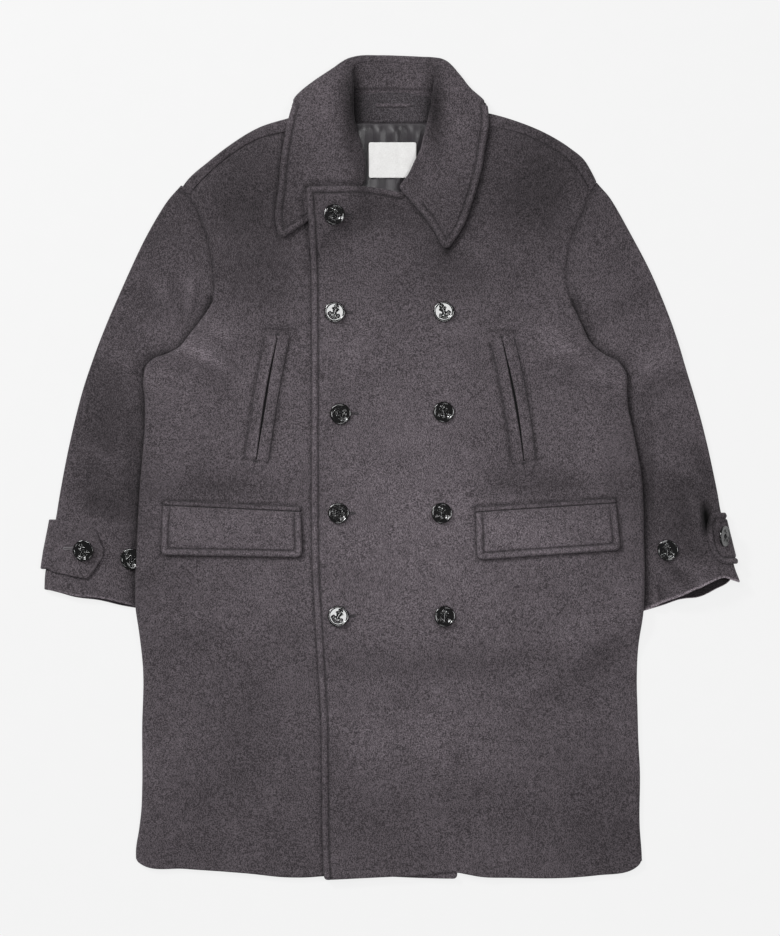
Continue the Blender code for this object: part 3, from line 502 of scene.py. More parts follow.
def ring_of(runs, corner):
    """One closed outline from runs, its corners rounded, counter-clockwise."""
    loop = []
    for k, run in enumerate(runs):
        following = runs[(k + 1) % len(runs)]
        meeting = run[-1]
        cut = corner[k] if hasattr(corner, "__len__") else corner
        before = corner[k - 1] if hasattr(corner, "__len__") else corner
        kept = [p for p in run if math.dist(p, run[0]) > before and math.dist(p, meeting) > cut]
        first = next(p for p in following if math.dist(p, meeting) > cut)
        last = kept[-1] if kept else run[0]
        loop += kept
        for share in (0.2, 0.4, 0.6, 0.8):
            a, b = last * (1 - share) + meeting * share, meeting * (1 - share) + first * share
            loop.append(a * (1 - share) + b * share)
    loop = np.array(loop)
    after = np.roll(loop, -1, 0)
    turning = (loop[:, 0] * after[:, 1] - loop[:, 1] * after[:, 0]).sum()
    return loop if turning > 0 else loop[::-1]


def panel(
    name, runs, top, bottom, rings=(), spacing=4.0, corner=3.0, extra=None, tone=True, wear=None
):
    """A closed sheet between two heights given over an outline.

    Rings of points lie at set distances inside the outline, and the rest is an even grid.
    """
    runs = {kind: np.asarray(run, float) for kind, run in runs.items()}
    loop = ring_of(list(runs.values()), corner)
    ahead, behind = np.roll(loop, -1, 0), np.roll(loop, 1, 0)
    run = ahead - behind
    inward = unit(np.stack([-run[:, 1], run[:, 0]], 1))
    closed = np.vstack([loop, loop[:1]])
    spots = [loop]
    for far in rings:
        ring = loop + inward * far
        keep = gap_to(closed, ring[:, 0], ring[:, 1]) > far * 0.97
        spots.append(ring[keep])
    low, high = loop.min(0), loop.max(0)
    columns, rows = np.arange(low[0], high[0], spacing), np.arange(low[1], high[1], spacing)
    grid_x, grid_up = np.meshgrid(columns, rows)
    grid_x[::2] += spacing / 2
    grid = np.stack([grid_x.ravel(), grid_up.ravel()], 1)
    if extra is not None:
        grid = np.vstack([grid, extra])
    far = gap_to(closed, grid[:, 0], grid[:, 1])
    last_ring = max(rings, default=0)
    spots.append(grid[far > last_ring + spacing * 0.45])
    spots = np.vstack(spots)
    outline = [list(range(len(loop)))]
    flat = [Vector(spot) for spot in spots]
    places, _, faces, *_ = geometry.delaunay_2d_cdt(flat, [], outline, 1, 1e-4)
    places = np.array([tuple(p) for p in places])
    x, up = places[:, 0], places[:, 1]
    gaps = {kind: gap_to(line, x, up) for kind, line in runs.items()}
    edge = gap_to(closed, x, up)
    gaps["edge"] = edge
    upper, lower = top(x, up, gaps), bottom(x, up, gaps)
    on_rim = edge < 1e-3
    upper = np.where(on_rim, (upper + lower) / 2, upper)
    number = np.arange(len(x))
    under = number.copy()
    under[~on_rim] = len(x) + np.arange((~on_rim).sum())
    points = np.vstack([np.stack([x, up, upper], 1), np.stack([x, up, lower], 1)[~on_rim]])
    both = [tuple(f) for f in faces] + [tuple(int(under[k]) for k in reversed(f)) for f in faces]
    shade = nap(points[:, 0], points[:, 1]) if tone else None
    # painted light and shade on the upper face
    if wear is not None:
        shade[: len(x)] *= wear(x, up, gaps)
    return finish_mesh(name, points, both, shade)


def shell(
    name, grid, wall, around=False, rim=5, lift=None, wear=None, rim_highlight=1.0, inner_shade=1.0
):
    """Cloth of a wall on a grid of middle points, with rounded rims.

    Lift raises its upper face. Painted shading is the painted light and shade of that face, and
    the other two are the painted highlight of its rims and the painted shade of its lower face.
    """
    grid = np.asarray(grid, float)
    rows, columns = grid.shape[:2]
    if around:
        wrapped = np.concatenate([grid[:, -1:], grid, grid[:, :1]], 1)
        across = wrapped[:, 2:] - wrapped[:, :-2]
    else:
        across = np.gradient(grid, axis=1)
    along = np.gradient(grid, axis=0)
    normal = np.cross(along, across)
    normal /= np.maximum(np.linalg.norm(normal, axis=2, keepdims=True), 1e-9)
    half = np.broadcast_to(np.asarray(wall, float) / 2, (rows, columns))[..., None]
    raised = half if lift is None else half + np.asarray(lift)[..., None]
    outer, inner = grid + normal * raised, grid - normal * half
    points = [outer.reshape(-1, 3), inner.reshape(-1, 3)]
    count = rows * columns
    total = 2 * count
    faces = []
    for i in range(rows - 1):
        for j in range(columns if around else columns - 1):
            a, b = i * columns + j, i * columns + (j + 1) % columns
            c, d = b + columns, a + columns
            faces.append((a, b, c, d))
            faces.append((d + count, c + count, b + count, a + count))
    if around:
        ends = ((0, 1), (rows - 1, -1))
        loops = [([(row, j) for j in range(columns)], end) for row, end in ends]
    else:
        walk = [(0, j) for j in range(columns)] + [(i, columns - 1) for i in range(1, rows)]
        walk += [(rows - 1, j) for j in range(columns - 2, -1, -1)]
        walk += [(i, 0) for i in range(rows - 2, 0, -1)]
        loops = [(walk, 0)]
    for walk, end in loops:
        index = np.array(walk)
        spots = grid[index[:, 0], index[:, 1]]
        up_way = normal[index[:, 0], index[:, 1]]
        size = half[index[:, 0], index[:, 1]]
        tangent = np.roll(spots, -1, 0) - np.roll(spots, 1, 0)
        out = np.cross(tangent, up_way)
        out /= np.maximum(np.linalg.norm(out, axis=1, keepdims=True), 1e-9)
        if end:
            inside = grid[end if end > 0 else rows - 2, index[:, 1]]
        else:
            inside_row = np.clip(index[:, 0], 1, rows - 2)
            inside_column = np.clip(index[:, 1], 1, columns - 2)
            inside = grid[inside_row, inside_column]
        sign = np.sign(((spots - inside) * out).sum(1).sum())
        out *= sign if sign else 1
        ids = [index[:, 0] * columns + index[:, 1]]
        for k in range(1, rim + 1):
            turn = math.pi * k / (rim + 1)
            points.append(spots + (up_way * math.cos(turn) + out * math.sin(turn)) * size)
            ids.append(total + np.arange(len(walk)))
            total += len(walk)
        ids.append(index[:, 0] * columns + index[:, 1] + count)
        for first, last in zip(ids, ids[1:]):
            for k in range(len(walk)):
                after = (k + 1) % len(walk)
                faces.append((int(first[k]), int(first[after]), int(last[after]), int(last[k])))
    points = np.vstack(points)
    shade = nap(points[:, 0], points[:, 1])
    # painted light and shade: on the upper face, a painted highlight on the rims and painted shade
    # on the lower face
    if wear is not None:
        shade[:count] *= np.asarray(wear).ravel()
        shade[count : 2 * count] *= inner_shade
        shade[2 * count :] *= rim_highlight
    return finish_mesh(name, points, faces, shade)


def top_of(*pieces):
    """Height of the upper face of some pieces at a place, or None beside them."""
    graph = bpy.context.evaluated_depsgraph_get()
    trees = [BVHTree.FromObject(piece, graph) for piece in pieces]

    def height(x, up):
        start = Vector(((x - MIDDLE[0]) * MM, (up - MIDDLE[1]) * MM, 0.2))
        hits = [tree.ray_cast(start, Vector((0, 0, -1)))[0] for tree in trees]
        return max((hit.z / MM for hit in hits if hit), default=None)

    return height


def heights(top, x, up, spare):
    """Heights of what lies below each place, or the spare one where nothing does."""
    found = [top(a, b) or spare for a, b in zip(np.ravel(x), np.ravel(up))]
    return np.array(found).reshape(np.shape(x))


# ---------------------------------------------------------------- body


def groove(gap, depth=1.7, wide=1.3, at=STITCH_IN):
    """The valley that a row of topstitching pulls into the cloth."""
    return -depth * bell(gap - at, wide) + 0.8 * bell(gap - at / 2, at * 0.3)


def seam_wear(gap, at=STITCH_IN):
    """Painted shade along the groove of a row of stitches, and a painted highlight on the edge."""
    return 1 - 0.42 * bell(gap - at, 1.5) + 0.14 * bell(gap - 3.2, 2.4)


def pressed(lines, x, up, depth=0.5, reach=3.0):
    """Painted shade close along lines, such as under the edge of what lies on a piece."""
    tone = np.ones_like(x)
    for line in lines:
        tone *= 1 - depth * np.exp(-((gap_to(line, x, up) / reach) ** 1.3))
    return tone


EDGE_RINGS = (0.3, 0.8, 1.5, 2.6, 4.0, 5.6, 7.0, 7.9, 8.5, 9.0, 9.5, 10.1, 11.0, 12.6, 15.0, 18.5)
SIDE_RADIUS = 5.5
FACED = 1.5  # the facing and seam make a front thicker along its edge
ROLL = 3.7  # half the height of the back's fold over a shoulder
BACK_TOP = CLOTH + 0.3  # a front's folded side comes down to this, close over the back


def front_faces(mid, half, stitched, hem_end):
    """Upper and lower face of a front: rounded at its side, stitched and faced along its edge."""

    def stitch(x, up, gaps):
        rise = np.zeros_like(x)
        for kind in stitched:
            rise += groove(gaps[kind] + 0.25 * pucker(x, up))
        hem = smooth((hem_end - x) / 25) * groove(gaps["hem"], 0.5, 1.2, 10.0)
        return rise + hem + 0.1 * pucker(x, up) * smooth(1 - gaps["edge"] / 14)

    def top(x, up, gaps):
        level = mid(x, up)
        base = body_lift(x, up, 40) + BACK_TOP
        thick = half * rounding(gaps["hem"], 1.8)
        for kind in stitched:
            thick = (thick + FACED * smooth((40 - gaps[kind]) / 30)) * rounding(gaps[kind], 2.6)
        for kind in ("shoulder", "armhole"):
            thick = thick - 2.2 * (1 - rounding(gaps[kind], 6.0))
        level = level + thick + stitch(x, up, gaps)
        return base + (level - base) * rounding(gaps["side"], SIDE_RADIUS)

    def bottom(x, up, gaps):
        level = mid(x, up)
        base = body_lift(x, up, 40) + BACK_TOP
        thick = half * rounding(gaps["hem"], 1.8)
        for kind in (*stitched, "shoulder", "armhole"):
            thick = thick * rounding(gaps[kind], 1.8)
        return base + (level - thick - base) * rounding(gaps["side"], SIDE_RADIUS - 2)

    return top, bottom


def corners_of(points):
    return [np.array(p, float) for p in points]


def make_fronts():
    """Both fronts, with painted shade beside what lies on them, along their seams and by their
    pockets.
    """
    left = {
        "hem": bow(UNDER_HEM),
        "lap": bow(UNDER_EDGE, step=6),
        "tuck": bow(UNDER_TUCK),
        "shoulder": bow(LEFT_SEAM),
        "armhole": bow(LEFT_ARMHOLE),
        "side": bow(LEFT_SIDE),
    }
    over_line = bow(OVER_TOP[::-1][:-1] + OVER_EDGE)
    collar_left = bow([(row[6] - 2, row[7]) for row in COLLAR_ROWS[:6]])
    collar_right = bow([(row[6] + 1, row[7]) for row in COLLAR_ROWS[20:]])
    collar_end = bow(((13, 898), (36, 871), (53, 853), (66, 829), (72, 817)))

    def flap_line(side):
        a, b, c, d = FLAPS[side]
        return np.array((a, d, c, b, a))

    def pocket_lines(side):
        slit = bow(SLITS[side])
        a, b, _, d = corners_of(FLAPS[side])
        band = unit(a - d) * 7.2
        brow = np.array((slit[0] + (-17.5, 12), slit[0] + (17.5, 12)))
        around = np.array((a, a + band, b + band, b))
        return [slit + (16.8, 0), slit - (16.8, 0), brow, around]

    # painted shade under the flap, the over front's edge and the collar, beside the pocket's lips
    # and in the shoulder seams
    def under_wear(x, up, gaps):
        tone = pressed((flap_line("left"), over_line, collar_left), x, up)
        return tone * pressed(pocket_lines("left"), x, up, 0.62, 2.6) * shoulder_wear(gaps)

    # painted shade under the flap and the collar, a wide painted shadow beside the collar's edge,
    # painted shade by the pocket and in the shoulder seams, and the stitched edge's painted shade
    # and highlight
    def over_wear(x, up, gaps):
        tone = pressed((flap_line("right"), collar_right), x, up) * shoulder_wear(gaps)
        tone *= pressed((collar_end,), x, up, 0.6, 4.5) * pressed((collar_right,), x, up, 0.2, 14.0)
        tone *= pressed(pocket_lines("right"), x, up, 0.62, 2.6)
        return tone * seam_wear(np.minimum(gaps["lap"], gaps["brow"]))

    def shoulder_wear(gaps):
        # painted shade in the seam valleys at the armhole and the shoulder
        return 1 - 0.35 * np.exp(-gaps["armhole"] / 2.2) - 0.2 * np.exp(-gaps["shoulder"] / 2.2)

    top, bottom = front_faces(under_mid, HALF_CLOTH, ("lap",), -400)
    corners = (6, 3, 2, 1.5, 1.5, 6)
    under = panel(
        "wool_front_under", left, top, bottom, EDGE_RINGS, 4.2, corners, wear=under_wear
    )
    right = {
        "hem": bow(OVER_HEM),
        "side": bow(RIGHT_SIDE[::-1]),
        "armhole": bow(RIGHT_ARMHOLE[::-1]),
        "shoulder": bow(RIGHT_SEAM[::-1]),
        "tuck": bow(OVER_TUCK),
        "brow": bow(OVER_TOP),
        "lap": bow(OVER_EDGE),
    }
    top, bottom = front_faces(over_mid, HALF_CLOTH + 0.2, ("lap", "brow"), 30)
    corners = (7, 1.5, 1.5, 2, 2, 3, 4)
    over = panel("wool_front_over", right, top, bottom, EDGE_RINGS, 4.2, corners, wear=over_wear)
    return under, over


def make_back():
    """The back, flat on the floor, with the strips that come over the shoulders to the seams."""
    runs = {
        "hem": bow(BACK_HEM),
        "side": bow(RIGHT_SIDE[::-1]),
        "armhole": bow(RIGHT_ARMHOLE[::-1] + ((268, 907),)),
        "top": bow(BACK_SILHOUETTE[::-1]),
        "armhole_left": bow(((-273, 899),) + LEFT_ARMHOLE),
        "side_left": bow(LEFT_SIDE),
    }
    seams = (bow(LEFT_SEAM), bow(RIGHT_SEAM))

    def on_seam(x, up, gaps):
        """1 on the strip of the back that comes over the shoulder."""
        on_left = np.interp(-x, -seams[0][:, 0], seams[0][:, 1])
        on_right = np.interp(x, seams[1][:, 0], seams[1][:, 1])
        return (np.abs(x) > 84) * (up > np.where(x < 0, on_left, on_right) + 0.5)

    def top(x, up, gaps):
        lift = body_lift(x, up, 40)
        flat = lift + CLOTH * (0.5 + 0.5 * rounding(gaps["edge"], HALF_CLOTH))
        roll = lift + ROLL + ROLL * rounding(gaps["top"], 5.0) + 0.12 * pucker(x, up)
        return np.where(on_seam(x, up, gaps), roll, flat)

    def bottom(x, up, gaps):
        lift = body_lift(x, up, 40)
        flat = lift + CLOTH * (0.5 - 0.5 * rounding(gaps["edge"], HALF_CLOTH))
        roll = lift + ROLL * (1 - rounding(gaps["top"], 4.0))
        return np.where(on_seam(x, up, gaps), roll, flat)

    extra = [line + (0, off) for line in seams for off in (0.2, 0.9, 2.2, 4.0, 6.5)]
    return panel("wool_back", runs, top, bottom, (0.4, 1.2, 2.6, 4.5), 6.0, 1.5, np.vstack(extra))


back = make_back()
under, over = make_fronts()


# ---------------------------------------------------------------- sleeves


def sleeve_puff(side, share, up):
    """Height by which a sleeve stands open near its cuff."""
    near = smooth(1 - (up - 365) / 150)
    arch = np.maximum(0.0, np.sin(math.pi * (0.3 + 0.7 * np.minimum(share / 0.78, 1))))
    return SLEEVES[side]["puff"] * near * arch**1.5


def sleeve_plan(side, ring, across, hem):
    """Places of a sleeve's layer, by shares from armhole to cuff and from outer to inner edge."""
    table = SLEEVES[side]
    rings = np.asarray(table["rings"], float)
    knots = np.linspace(0, 1, len(rings))
    edges = spline(knots, rings, ring.ravel())
    outer, inner = edges[:, :2], edges[:, 2:]
    share = across.ravel()[:, None]
    fade = ring.ravel()[:, None]
    plan = outer * (1 - share) + inner * share
    for points, weight in ((table["arm"], (1 - fade) ** 1.4), (table[hem], fade**1.4)):
        first, last = np.array(points[0], float), np.array(points[-1], float)
        curve = bow(points, across.ravel())
        plan += (curve - first * (1 - share) - last * share) * weight
    return plan.reshape(*ring.shape, 2)


LAYER_GAP = 4.8  # between the middles of a flat sleeve's two layers
FOLD_REACH = 11.0  # how far the rounded sides of a sleeve bulge at most
BODY_EDGE = {"left": LEFT_SIDE, "right": RIGHT_SIDE}


def make_sleeve(side):
    """One sleeve as a closed tube of two layers, pressed flat and open at its cuff."""
    rings, columns, turns = 150, 56, 9
    near_arm, near_cuff = np.linspace(0, 0.06, 12)[:-1], np.linspace(0.94, 1, 16)
    steps = np.concatenate([near_arm, np.linspace(0.06, 0.94, rings)[:-1], near_cuff])
    across = np.linspace(0, 1, columns)
    ring, share = np.meshgrid(steps, across, indexing="ij")
    upper = sleeve_plan(side, ring, share, "upper_hem")
    lower = sleeve_plan(side, ring, share, "lower_hem")
    x, up = upper[..., 0], upper[..., 1]
    hand = -1 if side == "left" else 1
    body = np.array(BODY_EDGE[side], float)[::-1]
    body = body[np.argsort(body[:, 1])]
    cover = np.interp(up, body[:, 1], body[:, 0]) * hand
    clear = smooth((x * hand - cover - 2) / 22)
    arm_gap = gap_to(bow(SLEEVES[side]["arm"]), x, up)
    arm = unit(np.gradient(upper[0], axis=0))
    tuck_in = np.stack([-arm[:, 1], arm[:, 0]], 1) * (-hand)
    deep = 4.0 + 7.0 * smooth((across - 0.68) / 0.2)  # deepest under the body at the armpit
    under_edge = np.outer(np.clip(1 - steps / 0.035, 0, 1), deep)[..., None]
    upper += tuck_in[None] * under_edge
    lower += tuck_in[None] * under_edge
    x, up = upper[..., 0], upper[..., 1]
    crown = np.sin(math.pi * np.clip(share * 1.15, 0, 1)) ** 0.7
    pillow = 2.6 * clear * smooth(arm_gap / 60) * crown
    soft = creases(SLEEVE_CREASES[side], x, up) + 1.2 * cockle(x + 200, up)
    soft = np.maximum(soft, -2.0 - 0.6 * sleeve_puff(side, share, up))
    seam = 1.8 * smooth(1 - arm_gap / 7)
    puff = sleeve_puff(side, share, up)
    rise = LAYER_GAP + puff + pillow + soft * clear * smooth(arm_gap / 20) - seam
    top = np.stack([x, up, HALF_CLOTH + rise], -1)
    base = np.stack([lower[..., 0], lower[..., 1], np.full_like(x, HALF_CLOTH)], -1)
    out_way = unit(top[:, 0, :2] - top[:, 1, :2])
    grid = []
    for k in range(len(steps)):
        ring_top, ring_base = top[k].copy(), base[k].copy()
        arcs = []
        for edge, way in ((0, out_way[k]), (-1, -out_way[k])):
            radius = (ring_top[edge, 2] - ring_base[edge, 2]) / 2
            reach = min(radius, FOLD_REACH)
            inset = reach + HALF_CLOTH
            fold_x = ring_top[edge, :2] @ way
            for layer in (ring_top, ring_base):
                past = layer[:, :2] @ way - (fold_x - inset)
                span = 3 * inset
                tuck = np.where(past > -span, (past + span) * inset / (span + inset), 0)
                layer[:, :2] -= np.outer(np.maximum(tuck, 0), way)
            start, base_start = ring_top[edge, :2], ring_base[edge, :2]
            arc = []
            for turn in np.linspace(math.pi / 2, -math.pi / 2, turns + 2)[1:-1]:
                mix = 0.5 + 0.5 * math.sin(turn)
                spot = base_start * (1 - mix) + start * mix + way * reach * math.cos(turn)
                arc.append((*spot, ring_base[edge, 2] + radius + radius * math.sin(turn)))
            arcs.append(arc)
        grid.append(np.vstack([ring_base[::-1], arcs[0][::-1], ring_top, arcs[1]]))
    grid = np.array(grid)
    if side == "right":
        grid = grid[:, ::-1]  # so that the outer face is the one on the outside
    x, up = grid[..., 0], grid[..., 1]
    # painted shadow beside the body's edge, and painted shade along the armhole seam
    tone = pressed((bow(BODY_EDGE[side]),), x, up, 0.66, 9.0)
    tone *= 1 - 0.4 * np.exp(-gap_to(bow(SLEEVES[side]["arm"]), x, up) / 3.0)
    hem_highlight = 3.2 if side == "right" else 1.6  # a painted highlight on the hem's fold
    tone[-2] *= math.sqrt(hem_highlight)
    tone[-1] *= hem_highlight
    # the rims carry the hem's painted highlight, and the inner face is painted darker as shade
    # inside the sleeve
    return shell(
        f"wool_sleeve_{side}", grid, CLOTH, around=True, wear=tone, rim_highlight=hem_highlight, inner_shade=0.36
    )


sleeves = {side: make_sleeve(side) for side in SLEEVES}


# ---------------------------------------------------------------- collar

FALL_SHARES = (0, 0.15, 0.3, 0.44, 0.55, 0.64, 0.73, 0.82, 0.9, 0.95, 1)
FOLD_SHARES = (0.0, 0.39, 0.8)


def fall_points(row, top):
    """One section of the turned-down collar, from its roll to its edge or to the tail below."""
    roll, edge = np.array(row[3:6]), np.array(row[6:9])
    half = COLLAR_WALL / 2
    if row[9] is None:
        points = [roll * (1 - s) + edge * s for s in FALL_SHARES]
        for point in points:
            free = 1.8 * np.hypot(*(point[:2] - roll[:2])) / np.hypot(*(edge[:2] - roll[:2]) + TINY)
            point[2] = max(point[2], (top(point[0], point[1]) or 0) + 0.3 + free + half)
        if edge[1] > 1000:
            points[-1][2] = edge[2]
            points[-2][2] = min(points[-2][2], edge[2] + 1.8)
        return points
    radius = (edge[2] - half) / 2
    away = unit(edge[:2] - np.array(row[9:11]))
    reach = min(radius, 5.0)
    centre = edge[:2] - away * (reach + half)
    start = np.array((*centre, edge[2]))
    points = [roll * (1 - s) + start * s for s in FOLD_SHARES] + [start]
    for angle in (54, 18, -18, -54):
        lean = math.radians(angle)
        spot = centre + away * reach * math.cos(lean)
        points.append(np.array((*spot, half + radius + radius * math.sin(lean))))
    foot, tail = np.array((*centre, half)), np.array((row[9], row[10], half))
    return points + [foot, (foot + tail) / 2, tail]


TIP_ROUND = 6.0  # radius of the collar's points


def trued(grid, fine):
    """The collar brought to one smooth outline, with rounded points and a hollow right end."""
    table = np.array([row[3:9] for row in COLLAR_ROWS], float)
    plan = spline(np.linspace(0, 1, len(table)), table, fine)
    roll, edge = plan[:, :2], plan[:, 3:5]
    length = np.linalg.norm(edge - roll, axis=1)
    away = (edge - roll) / length[:, None]
    run = along(edge)
    from_point = np.minimum(run, run[-1] - run)
    cut = TIP_ROUND - np.sqrt(TIP_ROUND**2 - np.maximum(TIP_ROUND - from_point, 0) ** 2)
    reach = ((grid[:, :, :2] - roll[:, None]) * away[:, None]).sum(2)
    farthest = reach.max(1)
    shift = length - cut - farthest - COLLAR_WALL / 2
    share = np.clip(reach / farthest[:, None], 0, 1)
    grid[:, :, :2] += away[:, None] * (shift[:, None] * share**2)[..., None]
    hollow = 5.0 * smooth(1 - (run[-1] - run) / 34)[:, None] * np.sin(math.pi * share) * share**0.5
    grid[:, :, :2] += hollow[..., None] * np.array((-away[-1, 1], away[-1, 0]))
    return grid


def make_collar(left_top, right_top):
    """The stand, the roll and the turned-down fall, as one folded piece."""
    sections = []
    for row in COLLAR_ROWS:
        foot, roll = np.array(row[0:3]), np.array(row[3:6])
        inwards = unit(np.array((6 - roll[0], 1030 - roll[1], 0)))
        drop = 4.6 * (1 - float(smooth((roll[1] - 1030) / 24)))
        under_roll = roll - np.array((0, 0, drop)) - inwards * 1.0
        stand = [foot * (1 - s) + under_roll * s for s in (0, 0.4, 0.75)]
        turn = [under_roll + inwards * 1.4, roll - np.array((0, 0, drop / 2)) + inwards * 2.6]
        fall = fall_points(row, left_top if row[0] < 0 else right_top)
        fall[0] = fall[0] + inwards * 0.6
        sections.append(stand + turn + fall)
    sections = np.array(sections, float)
    count = sections.shape[1]
    rows = np.linspace(0, 1, len(sections))
    near_end = 0.045 * np.linspace(0, 1, 22) ** 1.7
    fine = np.concatenate([near_end[:-1], np.linspace(0.045, 0.955, 190)[:-1], 1 - near_end[::-1]])
    fine = 0.0035 + 0.993 * fine
    flat = spline(rows, sections.reshape(len(sections), -1), fine).reshape(len(fine), count, 3)
    grid = []
    ends = np.array(COLLAR_EDGE_ROWS) + COLLAR_WALL / 2
    for section in flat:
        knots = along(section)
        body = np.linspace(0, knots[-1] - ends[-1] - 3, 62)
        at = np.concatenate([body, knots[-1] - ends[::-1]])
        grid.append(spline(knots, section, at))
    grid = trued(np.array(grid), fine)
    x, up = grid[..., 0], grid[..., 1]
    halves = np.split(grid[:, -1], [len(grid) // 2])
    edges = [half[half[:, 2] > 6] for half in halves] + [grid[0, 20:], grid[-1, 20:]]
    gap = np.full(x.shape, FAR_OFF)
    for line in edges:
        gap = np.minimum(gap, gap_to(line, x, up) + COLLAR_WALL / 2)
    on_fall = np.zeros(grid.shape[1])
    on_fall[34:] = 1
    wave = 0.35 * small_cockle(x, up) + 0.5 * wide_cockle(x + 90, up)
    gap = np.where(grid[..., 2] > 5, gap, FAR_OFF)
    lift = (groove(gap + 0.2 * pucker(x, up), 1.1) + 0.5 * wave * smooth(gap / 20)) * on_fall
    # painted shade in the stitch groove with a painted highlight on the edge, and painted shade
    # under the over front's corner
    tone = np.where(on_fall > 0, seam_wear(gap), 1.0)
    over_line = bow(OVER_TOP[::-1][:-1] + OVER_EDGE[:4])
    tone[:76] *= pressed((over_line,), grid[:76, :, 0], grid[:76, :, 1])
    tone[:, :2] *= 0.62  # painted shade in the seam at the foot of the stand
    return shell("wool_collar", grid, COLLAR_WALL, lift=lift, rim=7, wear=tone), grid


collar, collar_grid = make_collar(top_of(back, under), top_of(back, over))


# ---------------------------------------------------------------- pockets


FRONT_TOP = 9.0  # a front's usual height, where a piece reaches past it
LIP_WIDTH = 16.5
LIP_HEAD = 10.5  # a lip's square head above its slit


def make_flap(side, front_top):
    """A hip pocket's flap, stitched along its three free sides."""
    a, b, c, d = corners_of(FLAPS[side])
    runs = {"inner": bow((a, d)), "low": bow((d, c)), "outer": bow((c, b)), "high": bow((b, a))}

    def free_sides(gaps):
        return np.minimum(np.minimum(gaps["inner"], gaps["outer"]), gaps["low"])

    def lifted(gaps):
        return 2.4 * smooth(gaps["high"] / 25)

    def top(x, up, gaps):
        thick = 3.6 * rounding(gaps["edge"], 2.4)
        crown = 0.5 * smooth(gaps["low"] / 30) * smooth(gaps["high"] / 20)
        crown = crown + 0.25 * small_cockle(x, up)
        seam = groove(free_sides(gaps) + 0.2 * pucker(x, up)) * smooth(gaps["edge"] / 3)
        level = heights(front_top, x, up, FRONT_TOP)
        return level + 0.3 + lifted(gaps) + thick + seam + crown * smooth(gaps["edge"] / 8)

    def bottom(x, up, gaps):
        level = heights(front_top, x, up, FRONT_TOP)
        return level + 0.2 + lifted(gaps) + 1.2 * (1 - rounding(gaps["edge"], 2.0))

    # painted shade along the stitching and a painted highlight on the edges
    def wear(x, up, gaps):
        return seam_wear(free_sides(gaps))

    corners, rings = (8, 9, 1.5, 1.5), EDGE_RINGS[:14]
    return panel(f"wool_flap_{side}", runs, top, bottom, rings, 4.0, corners, wear=wear)


def make_jet(side, front_top):
    """The narrow strip that the flap hangs from."""
    a, b, _, d = corners_of(FLAPS[side])
    rise = unit(a - d)
    low_left, low_right = a + rise * 0.2, b + rise * 0.2
    high_left, high_right = low_left + rise * 6.6, low_right + rise * 6.6
    runs = {
        "left": bow((high_left, low_left)),
        "low": bow((low_left, low_right)),
        "right": bow((low_right, high_right)),
        "high": bow((high_right, high_left)),
    }

    def top(x, up, gaps):
        return heights(front_top, x, up, FRONT_TOP) + 0.1 + 2.3 * rounding(gaps["edge"], 2.0)

    def bottom(x, up, gaps):
        return heights(front_top, x, up, FRONT_TOP) - 0.3

    # painted shade along the jet's edges
    def wear(x, up, gaps):
        return 1 - 0.62 * np.exp(-gaps["edge"] / 1.3)

    rings = (0.3, 0.9, 1.8, 2.7)
    return panel(f"wool_flap_jet_{side}", runs, top, bottom, rings, 2.5, 0.8, wear=wear)


def make_lip(side, place, front_top):
    """One lip of a slanted pocket, thick at the slit and stitched flush along its far side."""
    slit = bow(SLITS[side], step=3)
    run = unit(slit[0] - slit[-1])
    aside = np.array((run[1], -run[0])) * (1 if (place == "inner") == (side == "left") else -1)
    share = np.linspace(0, 1, len(slit))
    open_by = (0.35 + 1.0 * np.sin(math.pi * share) ** 1.5)[:, None]
    near = slit + aside * open_by
    far_line = slit + aside * LIP_WIDTH
    foot = slit[-1] - run * 21
    near_corner, far_corner = near[0] + run * LIP_HEAD, far_line[0] + run * LIP_HEAD
    head = np.vstack([
        np.linspace(near[0], near_corner, 5),
        np.linspace(near_corner, far_corner, 7)[1:],
        np.linspace(far_corner, far_line[0], 5)[1:],
    ])
    point = [far_line[-1] - run * 2, foot + aside * 0.4, near[-1] - run * 4]
    lines = [near[::-1], head, far_line, bow([far_line[-1], *point, near[-1]], step=2.5)]
    if np.cross(lines[0][-1] - lines[0][0], lines[1][2] - lines[0][-1]) < 0:
        lines = [line[::-1] for line in lines[::-1]]
        names = ("low", "far", "high", "slit")
    else:
        names = ("slit", "high", "far", "low")
    runs = dict(zip(names, lines))
    ends = (slit[0] + run * 7.5, slit[-1] - run * 1.5)
    bars = [np.array((end, end + aside * 17)) for end in ends]  # the stitched ends of the pocket

    def top(x, up, gaps):
        seat = heights(front_top, x, up, FRONT_TOP)
        swell = 1.1 + 1.7 * np.exp(-gaps["slit"] / 6.0)
        sunk = rounding(gaps["far"], 2.2) * smooth(np.minimum(gaps["high"], gaps["low"]) / 2.5)
        barred = sum(bell(gap_to(bar, x, up), 1.5) for bar in bars)
        thick = swell * sunk * rounding(gaps["slit"], 1.6) * (1 - 0.5 * barred)
        return seat + thick + 0.05 * pucker(x, up)

    def bottom(x, up, gaps):
        return heights(front_top, x, up, FRONT_TOP) - 0.6

    # painted shade at the far edge and across the stitched ends, and painted light on the swell by
    # the slit
    def wear(x, up, gaps):
        tone = 1 - 0.6 * np.exp(-gaps["far"] / 1.9) + 0.12 * bell(gaps["slit"] - 3, 3)
        return tone * pressed(bars, x, up, 0.45, 1.7)

    name = f"wool_pocket_lip_{side}_{place}"
    return panel(name, runs, top, bottom, (0.3, 0.8, 1.6, 2.6, 4.0), 3.2, 0.6, wear=wear)


